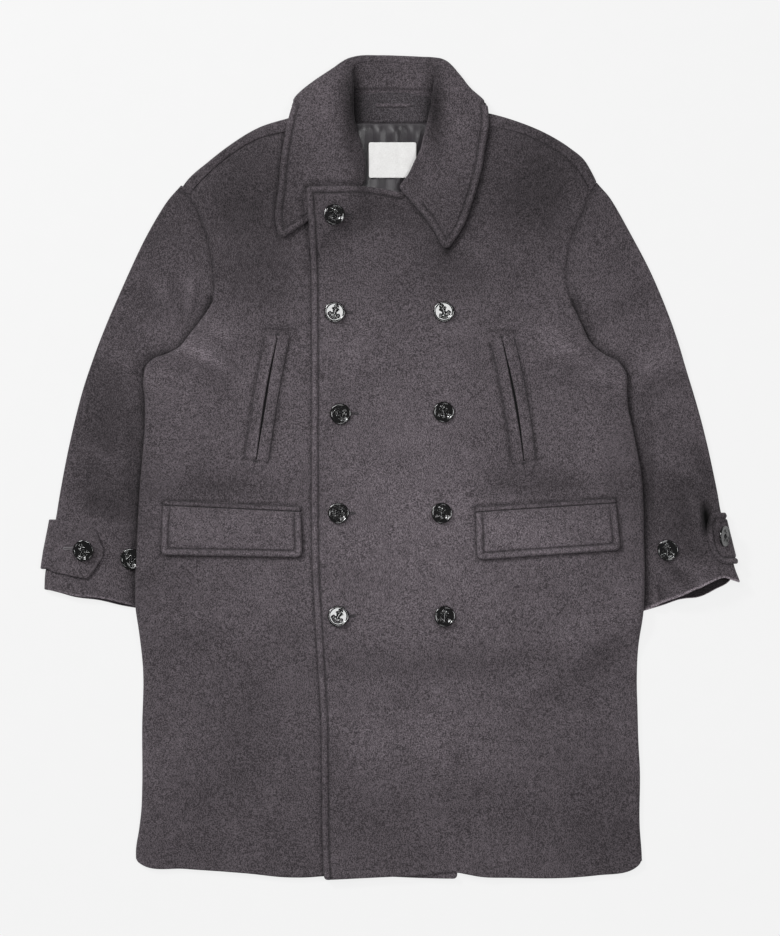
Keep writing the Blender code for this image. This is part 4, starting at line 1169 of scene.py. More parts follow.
def make_mouth(side, front_top):
    """A near-black sheet in a slanted pocket's slit, painted shade for its inside, seen between its
    lips.
    """
    slit = bow(SLITS[side], step=2)
    half = 0.9 + 1.1 * np.sin(math.pi * np.linspace(0, 1, len(slit))) ** 1.5
    rows = []
    for across in np.linspace(-1, 1, 5):
        line = beside(slit, (half * across)[:, None])
        z = heights(front_top, line[:, 0], line[:, 1], FRONT_TOP) + 0.35 + 0.35 * across**2
        rows.append(np.column_stack([line, z]))
    return shell(f"pocket_mouth_shade_{side}", np.array(rows).transpose(1, 0, 2), 0.3, rim=2)


flaps, jets, lips, mouths = {}, {}, {}, {}
for side, front in (("left", under), ("right", over)):
    front_top = top_of(front)
    flaps[side] = make_flap(side, front_top)
    jets[side] = make_jet(side, front_top)
    mouths[side] = make_mouth(side, front_top)
    for place in ("inner", "outer"):
        lips[side, place] = make_lip(side, place, front_top)


# ---------------------------------------------------------------- inside the neck

LINING_TOP = 984
LINING_LINE = (
    ((-48, 880), (50, 880)),
    ((50, 880), (62, 925), (76, 950), (81, LINING_TOP)),
    ((81, LINING_TOP), (-81, LINING_TOP)),
    ((-81, LINING_TOP), (-78, 950), (-62, 925), (-48, 880)),
)
FACING_LINE = (
    ((-81, 985), (81, 985)),
    ((81, 985), (76, 1000), (65, 1012)),
    ((65, 1012), (30, 1022), (0, 1024), (-30, 1022), (-66, 1012)),
    ((-66, 1012), (-76, 1000), (-81, 985)),
)
LOOP_BOX = (-20, 1004.8, 26, 1009.4)  # left x, lower up, right x, upper up
LABEL_BOX = (-29, 912.6, 33, 959)


def box_line(x1, up1, x2, up2):
    """A rectangle's four sides."""
    corners = ((x1, up1), (x2, up1), (x2, up2), (x1, up2), (x1, up1))
    return tuple(zip(corners, corners[1:]))


def neck_panel(
    name, outline, height, thick, spacing=3.0, rings=(0.3, 0.8, 1.6), corner=1.0, tone=True,
    relief=None,
):
    """A sheet of a thickness that lies at a height inside the neck."""
    runs = {str(k): bow(line) for k, line in enumerate(outline)}

    def top(x, up, gaps):
        extra = relief(x, up) * smooth(gaps["edge"] / 3) if relief else 0
        return height(x, up) + thick * rounding(gaps["edge"], thick) + extra

    def bottom(x, up, gaps):
        return height(x, up) - 0.1

    return panel(name, runs, top, bottom, rings, spacing, corner, tone=tone)


def pleats(x, up):
    """Soft upright pleats of the lining, gathered under the facing."""
    below = LINING_TOP - up
    fan = x / (1 + below * 0.0022)
    deep = smooth(below / 12) * (0.5 + 0.5 * smooth((up - 890) / 60))
    return deep * (1.3 * np.sin(fan / 4.1 + 1.1 * np.sin(fan / 17)) + 0.8 * np.sin(fan / 7.7 + 2))


def make_neck():
    """What shows inside the neck, each piece under the name of the part that it stands for."""
    back_top = top_of(back)

    def on_back(extra):
        return lambda x, up: heights(back_top, x, up, 6.9) + extra

    made = {}
    made["lining_back"] = neck_panel(
        "satin_lining", LINING_LINE, on_back(1.2), 1.0, 1.6, relief=pleats
    )
    made["facing_back_neck"] = neck_panel(
        "wool_facing", FACING_LINE, on_back(0.4), 1.6, 4.0,
        relief=lambda x, up: 0.2 * small_cockle(x, up),
    )
    facing_top = top_of(made["facing_back_neck"])

    def on_facing(x, up):
        share = np.clip((x - LOOP_BOX[0]) / (LOOP_BOX[2] - LOOP_BOX[0]), 0, 1)
        return heights(facing_top, x, up, 8.5) + 0.3 + 0.9 * np.sin(math.pi * share)

    made["hanger_loop"] = neck_panel(
        "wool_hanger_loop", box_line(*LOOP_BOX), on_facing, 1.3, 1.5, (0.3, 0.8, 1.5), 0.5
    )
    lining_top = top_of(made["lining_back"])
    across = np.linspace(LABEL_BOX[0], LABEL_BOX[2], 25)
    seat = max(lining_top(x, up) or 0 for x in across for up in (914, 930, 945, 957))
    made["label_blank"] = neck_panel(
        "white_label", box_line(*LABEL_BOX),
        lambda x, up: seat + 0.25 + 0.2 * np.abs(pleats(x, up)), 0.6, 3.0, (0.3, 1.0), 0.5,
        tone=False,
    )
    return made


neck = make_neck()

# ---------------------------------------------------------------- cuff straps

def cuff_shape(side, up):
    """Outer x of a sleeve, and how far its rounded side bulges and half its height there."""
    rings = np.asarray(SLEEVES[side]["rings"], float)[::-1]
    outer = float(np.interp(up, rings[:, 1], rings[:, 0]))
    high = (LAYER_GAP + float(sleeve_puff(side, 0.0, up))) / 2
    return outer, min(high, FOLD_REACH), high


def round_cuff(side, up, x, angle, off, sleeve_top):
    """A place off the cuff's cloth: at an angle round its outer side, or else above x."""
    outer, wide, high = cuff_shape(side, up)
    hand = 1 if outer > 0 else -1
    centre = outer - hand * (wide + HALF_CLOTH)
    if angle is not None:
        turn = math.radians(angle)
        reach = (wide + HALF_CLOTH + off) * math.cos(turn)
        z = HALF_CLOTH + high + (high + HALF_CLOTH + off) * math.sin(turn)
        return (centre + hand * reach, up, z)
    near = min(hand * x, hand * centre) * hand
    seat = sleeve_top(near, up) or 7.4
    beyond = sleeve_top(near - hand * 4, up) or seat
    lean = (beyond - seat) / 4
    steep = math.hypot(1, lean)
    return (near + hand * off * lean / steep, up, seat + off / steep)


# a strap bends less sharply than its sleeve, and so stands out by this at its two edges
TAB_STIFF = {"left": (-4.2, -3.0), "right": (1.5, 1.5)}
TAB_WALL = 3.4
TAB_STITCH_IN = 8.0


def make_tab(side):
    """A cuff strap, round the sleeve's outer side and across to its point."""
    sleeve_top = top_of(sleeves[side])
    off = 1.0 + TAB_WALL / 2
    across, fine_rows = 9, 70
    rows = []
    for angle in (-20, 5, 30, 55, 78):
        ups = np.linspace(*TAB_FOLD[side], across)
        line = np.array([round_cuff(side, up, None, angle, off, sleeve_top) for up in ups])
        line[:, 0] += np.linspace(*TAB_STIFF[side], across) * math.cos(math.radians(angle))
        rows.append(line)
    for upper_x, upper_up, lower_x, lower_up in TABS[side]:
        line = []
        for s in np.linspace(0, 1, across):
            x, up = upper_x + (lower_x - upper_x) * s, upper_up + (lower_up - upper_up) * s
            line.append(round_cuff(side, up, x, None, off, sleeve_top))
        rows.append(line)
    rows = np.array(rows, float)
    count = len(rows)
    at = np.linspace(0.02, count - 1.03, fine_rows)
    fine = spline(np.arange(count), rows.reshape(count, -1), at).reshape(fine_rows, across, 3)
    columns = fine.transpose(1, 0, 2).reshape(across, -1)
    edges = np.linspace(0.03, 0.2, 12), np.linspace(0.8, 0.97, 12)
    shares = np.concatenate([edges[0], np.linspace(0.2, 0.8, 22)[1:-1], edges[1]])
    grid = spline(np.arange(across) / (across - 1), columns, shares)
    grid = grid.reshape(len(shares), fine_rows, 3).transpose(1, 0, 2)
    gap = np.full(grid.shape[:2], FAR_OFF)
    for line in (grid[:, 0], grid[:, -1], grid[-1]):
        deep = np.linalg.norm(grid[:, :, None] - line[None, None], axis=3).min(2) + TAB_WALL / 2
        gap = np.minimum(gap, deep)
    # painted shade in the stitch groove and a painted highlight on the edges
    lift, tone = groove(gap, 1.7, 1.2, TAB_STITCH_IN), seam_wear(gap, TAB_STITCH_IN)
    return shell(f"wool_tab_{side}", grid, TAB_WALL, lift=lift, wear=tone), grid


tabs, tab_grids = {}, {}
for side in SLEEVES:
    tabs[side], tab_grids[side] = make_tab(side)

# ---------------------------------------------------------------- buttons

BUTTON_RADIUS = 13.5
BUTTON_FACE = 3.0  # height of a button's flat face
BUTTON_FOOT = ((13.2, 0.9), (12.0, 0.25), (10.0, 0.0))  # radius and height of its rounded foot
RIM_MIDDLE, RIM_HALF, RIM_FOOT, RIM_RISE = 12.1, 1.4, 2.75, 0.75
ANCHOR_SIZE, ANCHOR_DEPTH = 1.25, 0.65
HOLE_OUT, HOLE_RADIUS = 1.9, 1.25
HOLES = [(x, y) for x in (-HOLE_OUT, HOLE_OUT) for y in (-HOLE_OUT, HOLE_OUT)]


def bar_gap(x, y, x1, y1, x2, y2, half):
    """Distance to a bar with round ends, under 0 inside it."""
    run = np.array((x2 - x1, y2 - y1))
    share = np.clip(((x - x1) * run[0] + (y - y1) * run[1]) / (run**2).sum(), 0, 1)
    return np.hypot(x - x1 - run[0] * share, y - y1 - run[1] * share) - half


def anchor(x, y):
    """Distance to a plain anchor in the middle of a button, under 0 inside it."""
    parts = [
        bar_gap(x, y, 0, -6.0, 0, 4.4, 0.75),
        bar_gap(x, y, -2.9, 3.3, 2.9, 3.3, 0.6),
        np.abs(np.hypot(x, y - 5.9) - 1.4) - 0.5,
    ]
    below = np.where(y < -1.6, 0, (y + 1.6) * 2)
    parts.append(np.abs(np.hypot(x, y + 1.9) - 4.6) - 0.75 + below)
    for hand in (-1, 1):
        parts.append(bar_gap(x, y, hand * 4.6, -1.6, hand * 5.6, -3.6, 0.6))
        parts.append(bar_gap(x, y, hand * 4.6, -1.6, hand * 3.2, -2.6, 0.6))
    return np.minimum.reduce(parts)


def button_face(x, y):
    """Height of a button's upper face: flat and polished, with a cut-in anchor and a round rim."""
    radius = np.hypot(x, y)
    cut = smooth(0.5 - anchor(x / ANCHOR_SIZE, y / ANCHOR_SIZE))
    face = BUTTON_FACE - ANCHOR_DEPTH * cut
    round_top = np.sqrt(np.maximum(1 - ((radius - RIM_MIDDLE) / RIM_HALF) ** 2, 0))
    inside = np.where(radius > RIM_MIDDLE, 1.4, face)
    rim = np.maximum(RIM_FOOT + RIM_RISE * round_top, inside)
    face = np.where(radius > 10.7, rim, face)
    for hole_x, hole_y in HOLES:
        face = face - 2.0 * smooth((HOLE_RADIUS - np.hypot(x - hole_x, y - hole_y)) / 0.6)
    return face


def button_turn(turn, lean, nod):
    """Turned on its face, then leant to the right and towards the hem, in degrees."""
    tilt = Matrix.Rotation(math.radians(lean), 3, "Y") @ Matrix.Rotation(math.radians(nod), 3, "X")
    return np.array(tilt @ Matrix.Rotation(math.radians(turn), 3, "Z"))


def make_button(name, place, turn, lean, nod=0.0):
    """A turned button: a carved face, a round rim and a flat underside."""
    radii = np.concatenate([np.linspace(0.35, 9.2, 26), np.linspace(9.5, BUTTON_RADIUS, 17)])
    steps = 108
    angles = np.linspace(0, 2 * math.pi, steps, endpoint=False)
    points, faces = [(0, 0, float(button_face(0.0, 0.0)))], []
    for radius in radii:
        x, y = radius * np.cos(angles), radius * np.sin(angles)
        points += list(zip(x, y, button_face(x, y)))
    for radius, height in BUTTON_FOOT:
        points += [(radius * math.cos(a), radius * math.sin(a), height) for a in angles]
    rings = len(radii) + len(BUTTON_FOOT)
    for k in range(steps):
        faces.append((0, 1 + k, 1 + (k + 1) % steps))
        for ring in range(rings - 1):
            low, after = 1 + ring * steps + k, 1 + ring * steps + (k + 1) % steps
            faces.append((low, low + steps, after + steps, after))
    faces.append(tuple(1 + (rings - 1) * steps + k for k in range(steps))[::-1])
    points = np.array(points) @ button_turn(turn, lean, nod).T + np.array(place)
    return finish_mesh(name, points, faces)


def tube(path, radius, sides=8, closed=False):
    """Points and faces of a round thread along a path."""
    path = np.asarray(path, float)
    tangent = (np.roll(path, -1, 0) - np.roll(path, 1, 0)) if closed else np.gradient(path, axis=0)
    tangent /= np.maximum(np.linalg.norm(tangent, axis=1, keepdims=True), 1e-9)
    side = np.cross(tangent, (0, 0, 1.0))
    flat = np.linalg.norm(side, axis=1, keepdims=True)
    side = np.where(flat > 1e-6, side / np.maximum(flat, 1e-9), (1.0, 0, 0))
    high = np.cross(side, tangent)
    radius = np.broadcast_to(radius, len(path))[:, None]
    points, faces = [], []
    for k in range(sides):
        angle = 2 * math.pi * k / sides
        points.append(path + (side * math.cos(angle) + high * math.sin(angle)) * radius)
    points = np.stack(points, 1).reshape(-1, 3)
    last = len(path) if closed else len(path) - 1
    for i in range(last):
        after = (i + 1) % len(path)
        for k in range(sides):
            turn = (k + 1) % sides
            faces.append((i * sides + k, i * sides + turn, after * sides + turn, after * sides + k))
    if not closed:
        faces += [tuple(range(sides))[::-1], tuple(len(points) - sides + k for k in range(sides))]
    return points, faces


def joined(name, bits):
    """One piece from several lots of points and faces."""
    points, faces, count = [], [], 0
    for more, sides in bits:
        points.append(more)
        faces += [tuple(int(k) + count for k in face) for face in sides]
        count += len(more)
    return finish_mesh(name, np.vstack(points), faces)


def sewing_thread(name, place, turn, lean, nod=0.0):
    """Two bars of thread through the four holes."""
    bits = []
    for hand in (-1, 1):
        for strand in (-0.45, 0, 0.45):
            share = np.linspace(-1, 1, 13)
            x = hand * HOLE_OUT + strand * (1 - 0.3 * share**2)
            z = 1.5 + 2.1 * np.sqrt(np.maximum(1 - np.abs(share) ** 5, 0))
            bits.append(tube(np.stack([x, share * 1.95, z], 1), 0.3, 6))
    turned = button_turn(turn, lean, nod).T
    return joined(name, [(points @ turned + np.array(place), faces) for points, faces in bits])


def rest_height(top, x, up, lean, nod):
    """Height at which a leaning button just clears the cloth below it."""
    high = [top(x, up) or 0]
    lean, nod = math.radians(lean), math.radians(nod)
    for angle in np.linspace(0, 2 * math.pi, 12, endpoint=False):
        a, b = 12 * math.cos(angle), 12 * math.sin(angle)
        drop = a * math.sin(lean) - b * math.sin(nod)
        below = top(x + a * math.cos(lean), up + b)
        if below is not None:
            high.append(below + drop)
    return max(high) + 0.35


buttons, button_threads = {}, {}


def sew_on(name, place, turn, lean, nod=0.0):
    buttons[name] = make_button(f"resin_{name}", place, turn, lean, nod)
    button_threads[name] = sewing_thread(f"thread_{name}", place, turn, lean, nod)


over_top = top_of(over)
for name, (x, up, turn, lean, nod) in FRONT_BUTTONS.items():
    sew_on(name, (x, up, rest_height(over_top, x, up, lean, nod)), turn, lean, nod)
for name, (side, x, up, turn, lean) in CUFF_BUTTONS.items():
    seat = top_of(sleeves[side], tabs[side])
    # a button that hangs over the sleeve's edge is sewn down close to it
    z = rest_height(seat, x, up, lean, 0) if abs(lean) < 30 else seat(x, up) + 4.2
    sew_on(name, (x, up, z), turn, lean)

# ---------------------------------------------------------------- stitches and buttonholes

STITCH_PITCH, STITCH_LENGTH, STITCH_HALF = 3.3, 2.5, 0.3
STITCH_ARCH = np.array((-0.22, 0.1, 0.2, 0.1, -0.22))  # a stitch's height along its length
STITCH_SLIM = np.array((0.5, 0.95, 1, 0.95, 0.5))  # and its share of the thread's thickness


def stitch_row(line, top, pitch=STITCH_PITCH, length=STITCH_LENGTH, half=STITCH_HALF, sink=0.05):
    """Short threads in a row along a line, on the cloth below it."""
    far = along(line)
    bits = []
    for start in np.arange(0.5, far[-1] - length, pitch):
        at = np.linspace(start, start + length, 5)
        x, up = np.interp(at, far, line[:, 0]), np.interp(at, far, line[:, 1])
        z = [top(a, b) for a, b in zip(x, up)]
        if any(height is None for height in z):
            continue
        path = np.stack([x, up, np.array(z) + (STITCH_ARCH - sink)], 1)
        bits.append(tube(path, STITCH_SLIM * half, 6))
    return bits


def front_stitches():
    """Topstitching down the front edge and along its top."""
    top = top_of(over)
    edge = beside(bow(OVER_EDGE, step=1.5), STITCH_IN)
    brow = beside(bow(OVER_TOP, step=1.5), STITCH_IN)
    edge = edge[(edge[:, 1] < 901 - STITCH_IN) & (edge[:, 1] > 1)]
    brow = brow[(brow[:, 0] > -110 + STITCH_IN) & (brow[:, 0] < 14)]
    return stitch_row(edge, top) + stitch_row(brow, top)


def collar_stitches():
    """Topstitching along both halves of the collar, up to where they fold back."""
    top = top_of(collar)
    line = []
    for section in collar_grid:
        far = along(section)
        at = np.linalg.norm(np.diff(section, axis=0), axis=1).sum() - (STITCH_IN - COLLAR_WALL / 2)
        line.append([np.interp(at, far, section[:, k]) for k in range(2)])
    line = np.array(line)
    first, last = line[:110], line[-110:]
    bits = stitch_row(first[first[:, 1] < 992][7:], top)
    return bits + stitch_row(last[last[:, 1] < 996][:-7], top)


def flap_stitches(side):
    """Topstitching along a flap's free sides, across its two lower corners."""
    top = top_of(flaps[side])
    a, b, c, d = corners_of(FLAPS[side])
    across, down = unit(b - a), unit(d - a)
    near, far = STITCH_IN, STITCH_IN + 4
    path = [a + across * near, d + across * near - down * far, d + across * far - down * near]
    path += [c - across * far - down * near, c - across * near - down * far, b - across * near]
    bits = []
    for start, end in zip(path, path[1:]):
        bits += stitch_row(np.linspace(start, end, 40), top)
    return bits


def pocket_stitches(side):
    """A row down each lip, a close bar across each end, and the point below."""
    top = top_of(under if side == "left" else over, lips[side, "inner"], lips[side, "outer"])
    slit = bow(SLITS[side], step=2)
    bits = stitch_row(beside(slit, 15.2), top) + stitch_row(beside(slit, -15.2), top)
    run = unit(slit[0] - slit[-1])
    cross = np.array((run[1], -run[0]))
    for end, out in ((slit[0], run * 5), (slit[-1], -run * 3)):
        for row in (-0.7, 0, 0.7):
            ends = [end + out + run * row - cross * 5, end + out + run * row + cross * 5]
            bits += stitch_row(np.linspace(*ends, 12), top, 2.4, 2.3, 0.38, -0.1)
    foot = slit[-1] - run * 20
    for hand in (-1, 1):
        corner = slit[-1] - run * 5 + cross * 14.5 * hand
        bits += stitch_row(np.linspace(corner, foot, 14), top)
    return bits


def tab_stitches(side):
    """Topstitching along both edges of a strap."""
    top = top_of(tabs[side])
    grid = tab_grids[side][22:, :, :2]
    bits = []
    for edge in (0, -1):
        rim = grid[:, edge]
        way = grid[:, len(grid[0]) // 2] - rim
        far = np.linalg.norm(way, axis=1, keepdims=True)
        bits += stitch_row((rim + way / far * 6.3)[far[:, 0] > 8], top)
    return bits


def make_stitches():
    made = {"front_over": front_stitches(), "collar_fall": collar_stitches()}
    for side in SLEEVES:
        made[f"flap_{side}"] = flap_stitches(side)
        made[f"pocket_{side}"] = pocket_stitches(side)
        made[f"tab_{side}"] = tab_stitches(side)
    return {name: joined(f"stitches_{name}", bits) for name, bits in made.items() if bits}


stitches = make_stitches()


HOLE_STEPS = 150
BUTTONHOLES = ((-61, 738, -2), (-53, 606, 2), (-57, 477, 0), (-57, 343.5, 1), (-62, 864, 0))


def make_buttonhole(name, x, up, turn, top):
    """A slit whipped round with thread, reaching out from under its button."""
    half, wide = 9.5, 1.15

    def round_end(middle, first, last):
        angles = np.linspace(first, last, 9)
        return [(middle + wide * math.cos(a), wide * math.sin(a)) for a in angles]

    near_end = round_end(-half, math.pi / 2, 3 * math.pi / 2)
    far_end = round_end(half, -math.pi / 2, math.pi / 2)[1:-1]
    closed = np.array([near_end[-1], *far_end, *near_end, near_end[-1]])
    far = along(closed)
    at = np.linspace(0, far[-1], HOLE_STEPS, endpoint=False)
    places = np.stack([np.interp(at, far, closed[:, k]) for k in range(2)], 1)
    c, s = math.cos(math.radians(turn)), math.sin(math.radians(turn))
    places = places @ np.array(((c, s), (-s, c))) + (x, up)
    z = heights(top, places[:, 0], places[:, 1], 12.0) + 0.25
    radius = 0.72 + 0.13 * np.cos(np.arange(HOLE_STEPS) * math.pi / 1.5)  # whipped turn by turn
    return joined(name, [tube(np.column_stack([places, z]), radius, 8, closed=True)])


buttonholes = [
    make_buttonhole(f"buttonhole_{k}", x, up, turn, over_top)
    for k, (x, up, turn) in enumerate(BUTTONHOLES)
]
tab_buttonhole = make_buttonhole("buttonhole_tab_left", -414.5, 431.5, 3, top_of(tabs["left"]))


# ---------------------------------------------------------------- materials


class Value:
    """A number that varies over a surface and takes Python's arithmetic."""

    def __init__(self, finish, socket):
        self.finish, self.socket = finish, socket

    def math(self, operation, *values):
        settings, inputs = {"operation": operation}, dict(enumerate(values))
        return self.finish.node("ShaderNodeMath", settings, inputs).value()

    def __add__(self, other):
        return self.math("ADD", self, other)

    def __sub__(self, other):
        return self.math("SUBTRACT", self, other)

    def __rsub__(self, other):
        return self.math("SUBTRACT", other, self)

    def __mul__(self, other):
        return self.math("MULTIPLY", self, other)

    def clamped(self):
        return self.finish.node("ShaderNodeClamp", {}, {"Value": self}).value()

    __radd__ = __add__
    __rmul__ = __mul__


class Made:
    """A node that has been added, giving its outputs."""

    def __init__(self, finish, node):
        self.finish, self.node = finish, node

    def value(self, name=0):
        return Value(self.finish, self.node.outputs[name])

    def out(self, name=0):
        return self.node.outputs[name]


class Finish:
    """One material and its nodes."""

    def __init__(self, name):
        self.material = bpy.data.materials.new(name)
        self.material.use_nodes = True
        self.tree = self.material.node_tree
        self.tree.nodes.clear()

    def node(self, kind, settings=None, inputs=None):
        """Add a node: its settings first, a ramp's stops among them, then its sockets."""
        made = self.tree.nodes.new(kind)
        for key, setting in (settings or {}).items():
            if key == "stops":
                ramp = made.color_ramp.elements
                while len(ramp) < len(setting):
                    ramp.new(0.5)
                for stop, (place, colour) in zip(ramp, setting):
                    stop.position, stop.color = place, (*colour, 1)
            else:
                setattr(made, key, setting)
        for key, value in (inputs or {}).items():
            socket = made.inputs[key]
            if isinstance(value, Value):
                value = value.socket
            if isinstance(value, bpy.types.NodeSocket):
                self.tree.links.new(value, socket)
            elif isinstance(value, tuple) and len(value) == 3 and socket.type == "RGBA":
                socket.default_value = (*value, 1)
            else:
                socket.default_value = value
        return Made(self, made)

    def place(self):
        return self.node("ShaderNodeTexCoord").out("Object")

    def stretched(self, scale):
        inputs = {"Vector": self.place(), "Scale": scale}
        return self.node("ShaderNodeMapping", {"vector_type": "POINT"}, inputs).out()

    def noise(self, size, detail=2.0, roughness=0.5, at=None):
        """Noise whose grains are about one size, in millimetres."""
        inputs = {"Vector": at or self.place(), "Scale": 1 / (size * MM)}
        inputs.update(Detail=detail, Roughness=roughness)
        return self.node("ShaderNodeTexNoise", {}, inputs).value("Fac")

    def blend(self, share, first, second):
        settings = {"data_type": "RGBA", "clamp_factor": True}
        inputs = {"Factor": share, 6: first, 7: second}  # a colour mix's two colours
        return self.node("ShaderNodeMix", settings, inputs).out(2)

    def times(self, colour, share):
        inputs = {0: colour, "Scale": share}
        return self.node("ShaderNodeVectorMath", {"operation": "SCALE"}, inputs).out()

    def bump(self, height, distance, strength):
        inputs = {"Height": height, "Distance": distance * MM, "Strength": strength}
        return self.node("ShaderNodeBump", {}, inputs).out()

    def surface(self, **inputs):
        names = {key.replace("_", " "): value for key, value in inputs.items()}
        shader = self.node("ShaderNodeBsdfPrincipled", {}, names)
        self.node("ShaderNodeOutputMaterial", {}, {"Surface": shader.out()})
        return self.material


def wool(name, dark, light, napped=True, contrast=1.0):
    """Brushed melton wool: heathered fibres of two greys, felted, with a soft nap."""
    f = Finish(name)
    fibre = f.noise(1.3, 2.0, 0.6)
    fleck = f.noise(2.3, 1.0, 0.5, f.stretched((1.0, 0.8, 1.0)))
    blotch = f.noise(9.0, 2.0, 0.55)
    drift = f.noise(60.0, 2.0, 0.5)
    share = 0.42 + (fibre - 0.5) * (3.7 * contrast) + (fleck - 0.5) * (1.2 * contrast)
    share = share + (blotch - 0.5) * 0.55 + (drift - 0.5) * 0.3
    colour = f.blend(share.clamped(), dark, light)
    # the tone attribute brings in painted light and shade along with the nap's own tone
    if napped:
        tone = f.node("ShaderNodeAttribute", {"attribute_name": "nap"}).value("Fac")
        colour = f.times(colour, tone)
    fuzz = f.noise(1.1, 3.0, 0.6)
    felt = f.noise(4.5, 2.0, 0.55)
    normal = f.bump(fuzz * 0.6 + felt * 0.6 + fibre * 0.6, 0.4, 0.5)
    return f.surface(
        Base_Color=colour, Roughness=0.86 + fibre * 0.12, Normal=normal, Sheen_Weight=0.12,
        Sheen_Roughness=0.5, Sheen_Tint=(0.8, 0.76, 0.8), Specular_IOR_Level=0.22,
    )


def satin():
    """Lining satin: smooth upright floats with a soft shine."""
    f = Finish("satin_lining_grey")
    floats = f.noise(0.7, 2.0, 0.5, f.stretched((1.0, 0.06, 1.0)))
    picks = f.noise(1.2, 1.0, 0.5, f.stretched((0.1, 1.0, 1.0)))
    cloud = f.noise(14.0, 2.0, 0.5)
    share = (0.5 + (floats - 0.5) * 1.3 + (cloud - 0.5) * 0.8).clamped()
    colour = f.blend(share, (0.013, 0.0115, 0.0135), (0.042, 0.036, 0.042))
    normal = f.bump(floats + picks * 0.5, 0.12, 0.5)
    return f.surface(
        Base_Color=colour, Roughness=0.30 + cloud * 0.14, Normal=normal, Specular_IOR_Level=0.5
    )


def tape():
    """Blank woven label: close plain weave."""
    f = Finish("woven_label_white")
    warp = f.noise(0.55, 1.0, 0.5, f.stretched((1.0, 0.15, 1.0)))
    weft = f.noise(0.55, 1.0, 0.5, f.stretched((0.15, 1.0, 1.0)))
    soil = f.noise(12.0, 2.0, 0.5)
    share = (0.45 + (warp - 0.5) * 0.9 + (weft - 0.5) * 0.9 + (soil - 0.5) * 0.5).clamped()
    colour = f.blend(share, (0.70, 0.69, 0.68), (0.90, 0.90, 0.89))
    normal = f.bump(warp + weft, 0.15, 0.5)
    return f.surface(Base_Color=colour, Roughness=0.75, Normal=normal, Specular_IOR_Level=0.3)


def resin():
    """Glossy black button resin with faint smoky clouds and rubbing marks."""
    f = Finish("button_resin_black")
    cloud = f.noise(5.0, 3.0, 0.6)
    rub = f.noise(0.8, 3.0, 0.7)
    smoke = (cloud * 1.6 - 0.3).clamped()
    colour = f.blend(smoke, (0.0008, 0.0008, 0.0009), (0.003, 0.0028, 0.003))
    normal = f.bump(cloud + rub * 0.3, 0.03, 0.2)
    return f.surface(
        Base_Color=colour, Roughness=0.05 + rub * 0.09, Normal=normal, Specular_IOR_Level=1.0
    )


def thread(name, colour):
    """Twisted sewing thread, darker between its plies."""
    f = Finish(name)
    twist = f.noise(0.5, 2.0, 0.6)
    dark = tuple(c * 0.6 for c in colour)
    light = tuple(c * 1.3 for c in colour)
    blended = f.blend((twist * 2 - 0.5).clamped(), dark, light)
    normal = f.bump(twist, 0.1, 0.6)
    return f.surface(Base_Color=blended, Roughness=0.6 + twist * 0.2, Normal=normal)


def floor_finish():
    f = Finish("studio_floor")
    grain = f.noise(30.0, 2.0, 0.5)
    colour = f.blend(grain, (0.10, 0.10, 0.10), (0.11, 0.11, 0.11))
    return f.surface(
        Base_Color=colour, Roughness=0.9, Specular_IOR_Level=0.0,
        Emission_Color=(1.0, 1.0, 1.0), Emission_Strength=0.81,
    )


WOOL_OUTER = wool("melton_wool_charcoal", (0.034, 0.029, 0.0325), (0.162, 0.139, 0.155))
# the facing is the same wool as the coat, drawn darker: painted shade inside the neck
WOOL_SHADED = wool("facing_wool_painted_shade", (0.018, 0.016, 0.018), (0.105, 0.093, 0.103))
# near-black wool as painted shade for the pocket's inside
POCKET_SHADE = wool("pocket_painted_shade", (0.002, 0.002, 0.002), (0.008, 0.007, 0.008))
SATIN, LABEL, RESIN = satin(), tape(), resin()
SEAM_THREAD = thread("seam_thread_charcoal", (0.040, 0.036, 0.040))
PALE_THREAD = thread("buttonhole_thread_grey", (0.17, 0.16, 0.17))
BUTTON_THREAD = thread("button_thread_black", (0.020, 0.019, 0.021))
FLOOR = floor_finish()


# ---------------------------------------------------------------- joining to the part


def place_on(piece, finish, nodes=()):
    """Give a piece its finish, and say what it rides on and stands for."""
    piece.data.materials.clear()
    piece.data.materials.append(finish)
    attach(piece, "root")
    if nodes:
        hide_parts(*nodes)


# a strap's flat size is that of what shows, which is less on the right cuff
place_on(back, WOOL_OUTER, ["back"])
place_on(under, WOOL_OUTER, ["front_under"])
place_on(over, WOOL_OUTER, ["front_over"])
place_on(collar, WOOL_OUTER, ["collar_fall", "collar_stand"])
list(sleeves.values())
for side, sleeve in sleeves.items():
    place_on(sleeve, WOOL_OUTER, [f"sleeve_{side}"])
    place_on(tabs[side], WOOL_OUTER, [f"tab_{side}"])
    place_on(flaps[side], WOOL_OUTER, [f"flap_{side}"])
    front = under if side == "left" else over
    place_on(jets[side], WOOL_OUTER, [f"flap_jet_{side}"])
    for place in ("inner", "outer"):
        lip = lips[side, place]
        place_on(lip, WOOL_OUTER, [f"pocket_lip_{side}_{place}"])
for mouth in mouths.values():
    place_on(mouth, POCKET_SHADE)
place_on(neck["lining_back"], SATIN, ["lining_back"])
place_on(neck["facing_back_neck"], WOOL_SHADED, ["facing_back_neck"])
place_on(neck["hanger_loop"], WOOL_OUTER, ["hanger_loop"])
place_on(neck["label_blank"], LABEL, ["label_blank"])
for name, button in buttons.items():
    place_on(button, RESIN, [name])
    place_on(button_threads[name], BUTTON_THREAD)
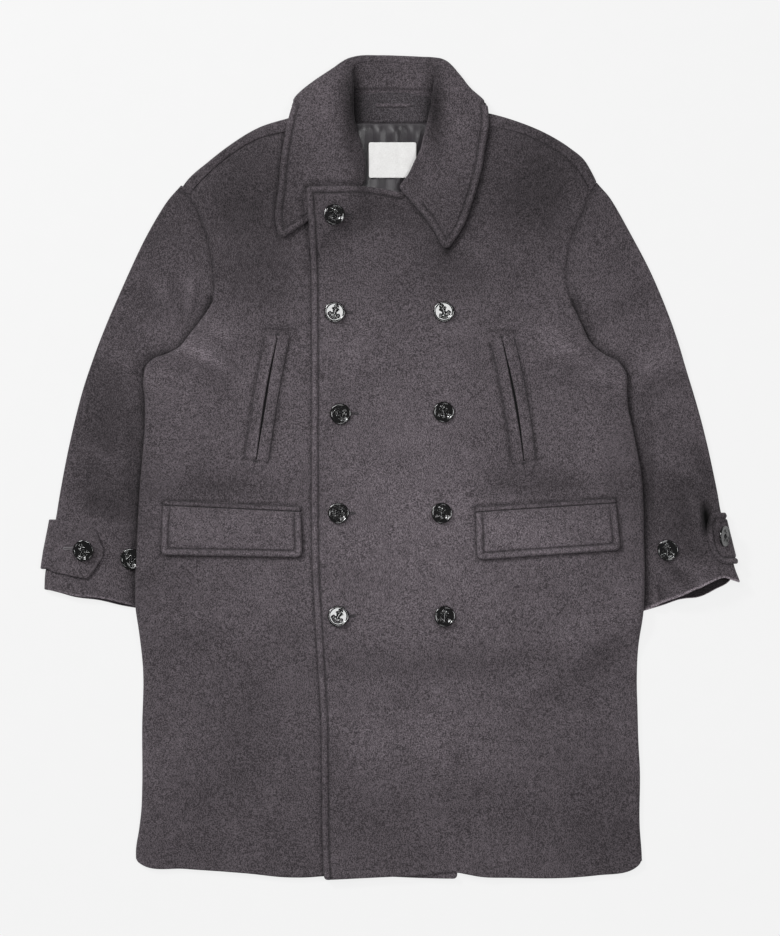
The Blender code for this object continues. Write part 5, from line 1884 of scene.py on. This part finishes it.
for piece in (*stitches.values(), *buttonholes):
    place_on(piece, SEAM_THREAD)
place_on(tab_buttonhole, PALE_THREAD)


# ---------------------------------------------------------------- floor, light and camera


FLOOR_HALF, FLOOR_Z = 60.0, -0.0004
LAMPS = (
    # name, place, size, watts
    ("key", (-1.9, 1.7, 2.1), 0.7, 57.5),
    ("near", (-0.9, 1.1, 3.1), 0.8, 24.0),
    ("right", (1.6, 0.0, 3.0), 0.9, 26.0),
    ("foot", (0.1, -1.6, 3.0), 0.9, 12.0),
    ("window", (0.0, 0.42, 4.1), 0.44, 4.8),
)


def make_stage():
    """The pale floor, an even white surround and the lamps."""
    corners = ((-1, -1), (1, -1), (1, 1), (-1, 1))
    data = bpy.data.meshes.new("studio_floor")
    places = [(FLOOR_HALF * x, FLOOR_HALF * y, FLOOR_Z) for x, y in corners]
    data.from_pydata(places, [], [(0, 1, 2, 3)])
    data.materials.append(FLOOR)
    added("studio_floor", data)
    world = bpy.data.worlds.new("studio")
    world.use_nodes = True
    surround = world.node_tree.nodes["Background"].inputs
    surround["Color"].default_value = (1, 1, 1, 1)
    surround["Strength"].default_value = 0.12
    bpy.context.scene.world = world
    for name, place, size, power in LAMPS:
        lamp = bpy.data.lights.new(name, "AREA")
        lamp.shape, lamp.size, lamp.energy = "DISK", size, power
        light = added(name, lamp)
        light.location = place
        light.rotation_euler = (-Vector(place)).to_track_quat("-Z", "Y").to_euler()


CAMERA_HEIGHT = 4.0
CLOTH_HEIGHT = 0.008
VIEW_HEIGHT = 1.2168  # height of the view at the cloth, in metres
SENSOR = 36  # millimetres


def make_camera():
    """Straight above the coat."""
    lens = bpy.data.cameras.new("camera")
    lens.sensor_width = SENSOR
    lens.lens = SENSOR * (CAMERA_HEIGHT - CLOTH_HEIGHT) / VIEW_HEIGHT
    camera = added("camera", lens)
    camera.location = (0.0001, -0.0008, CAMERA_HEIGHT)
    bpy.context.scene.camera = camera


make_stage()
make_camera()
bpy.context.scene.view_settings.view_transform = "Standard"

bpy.context.view_layer.update()
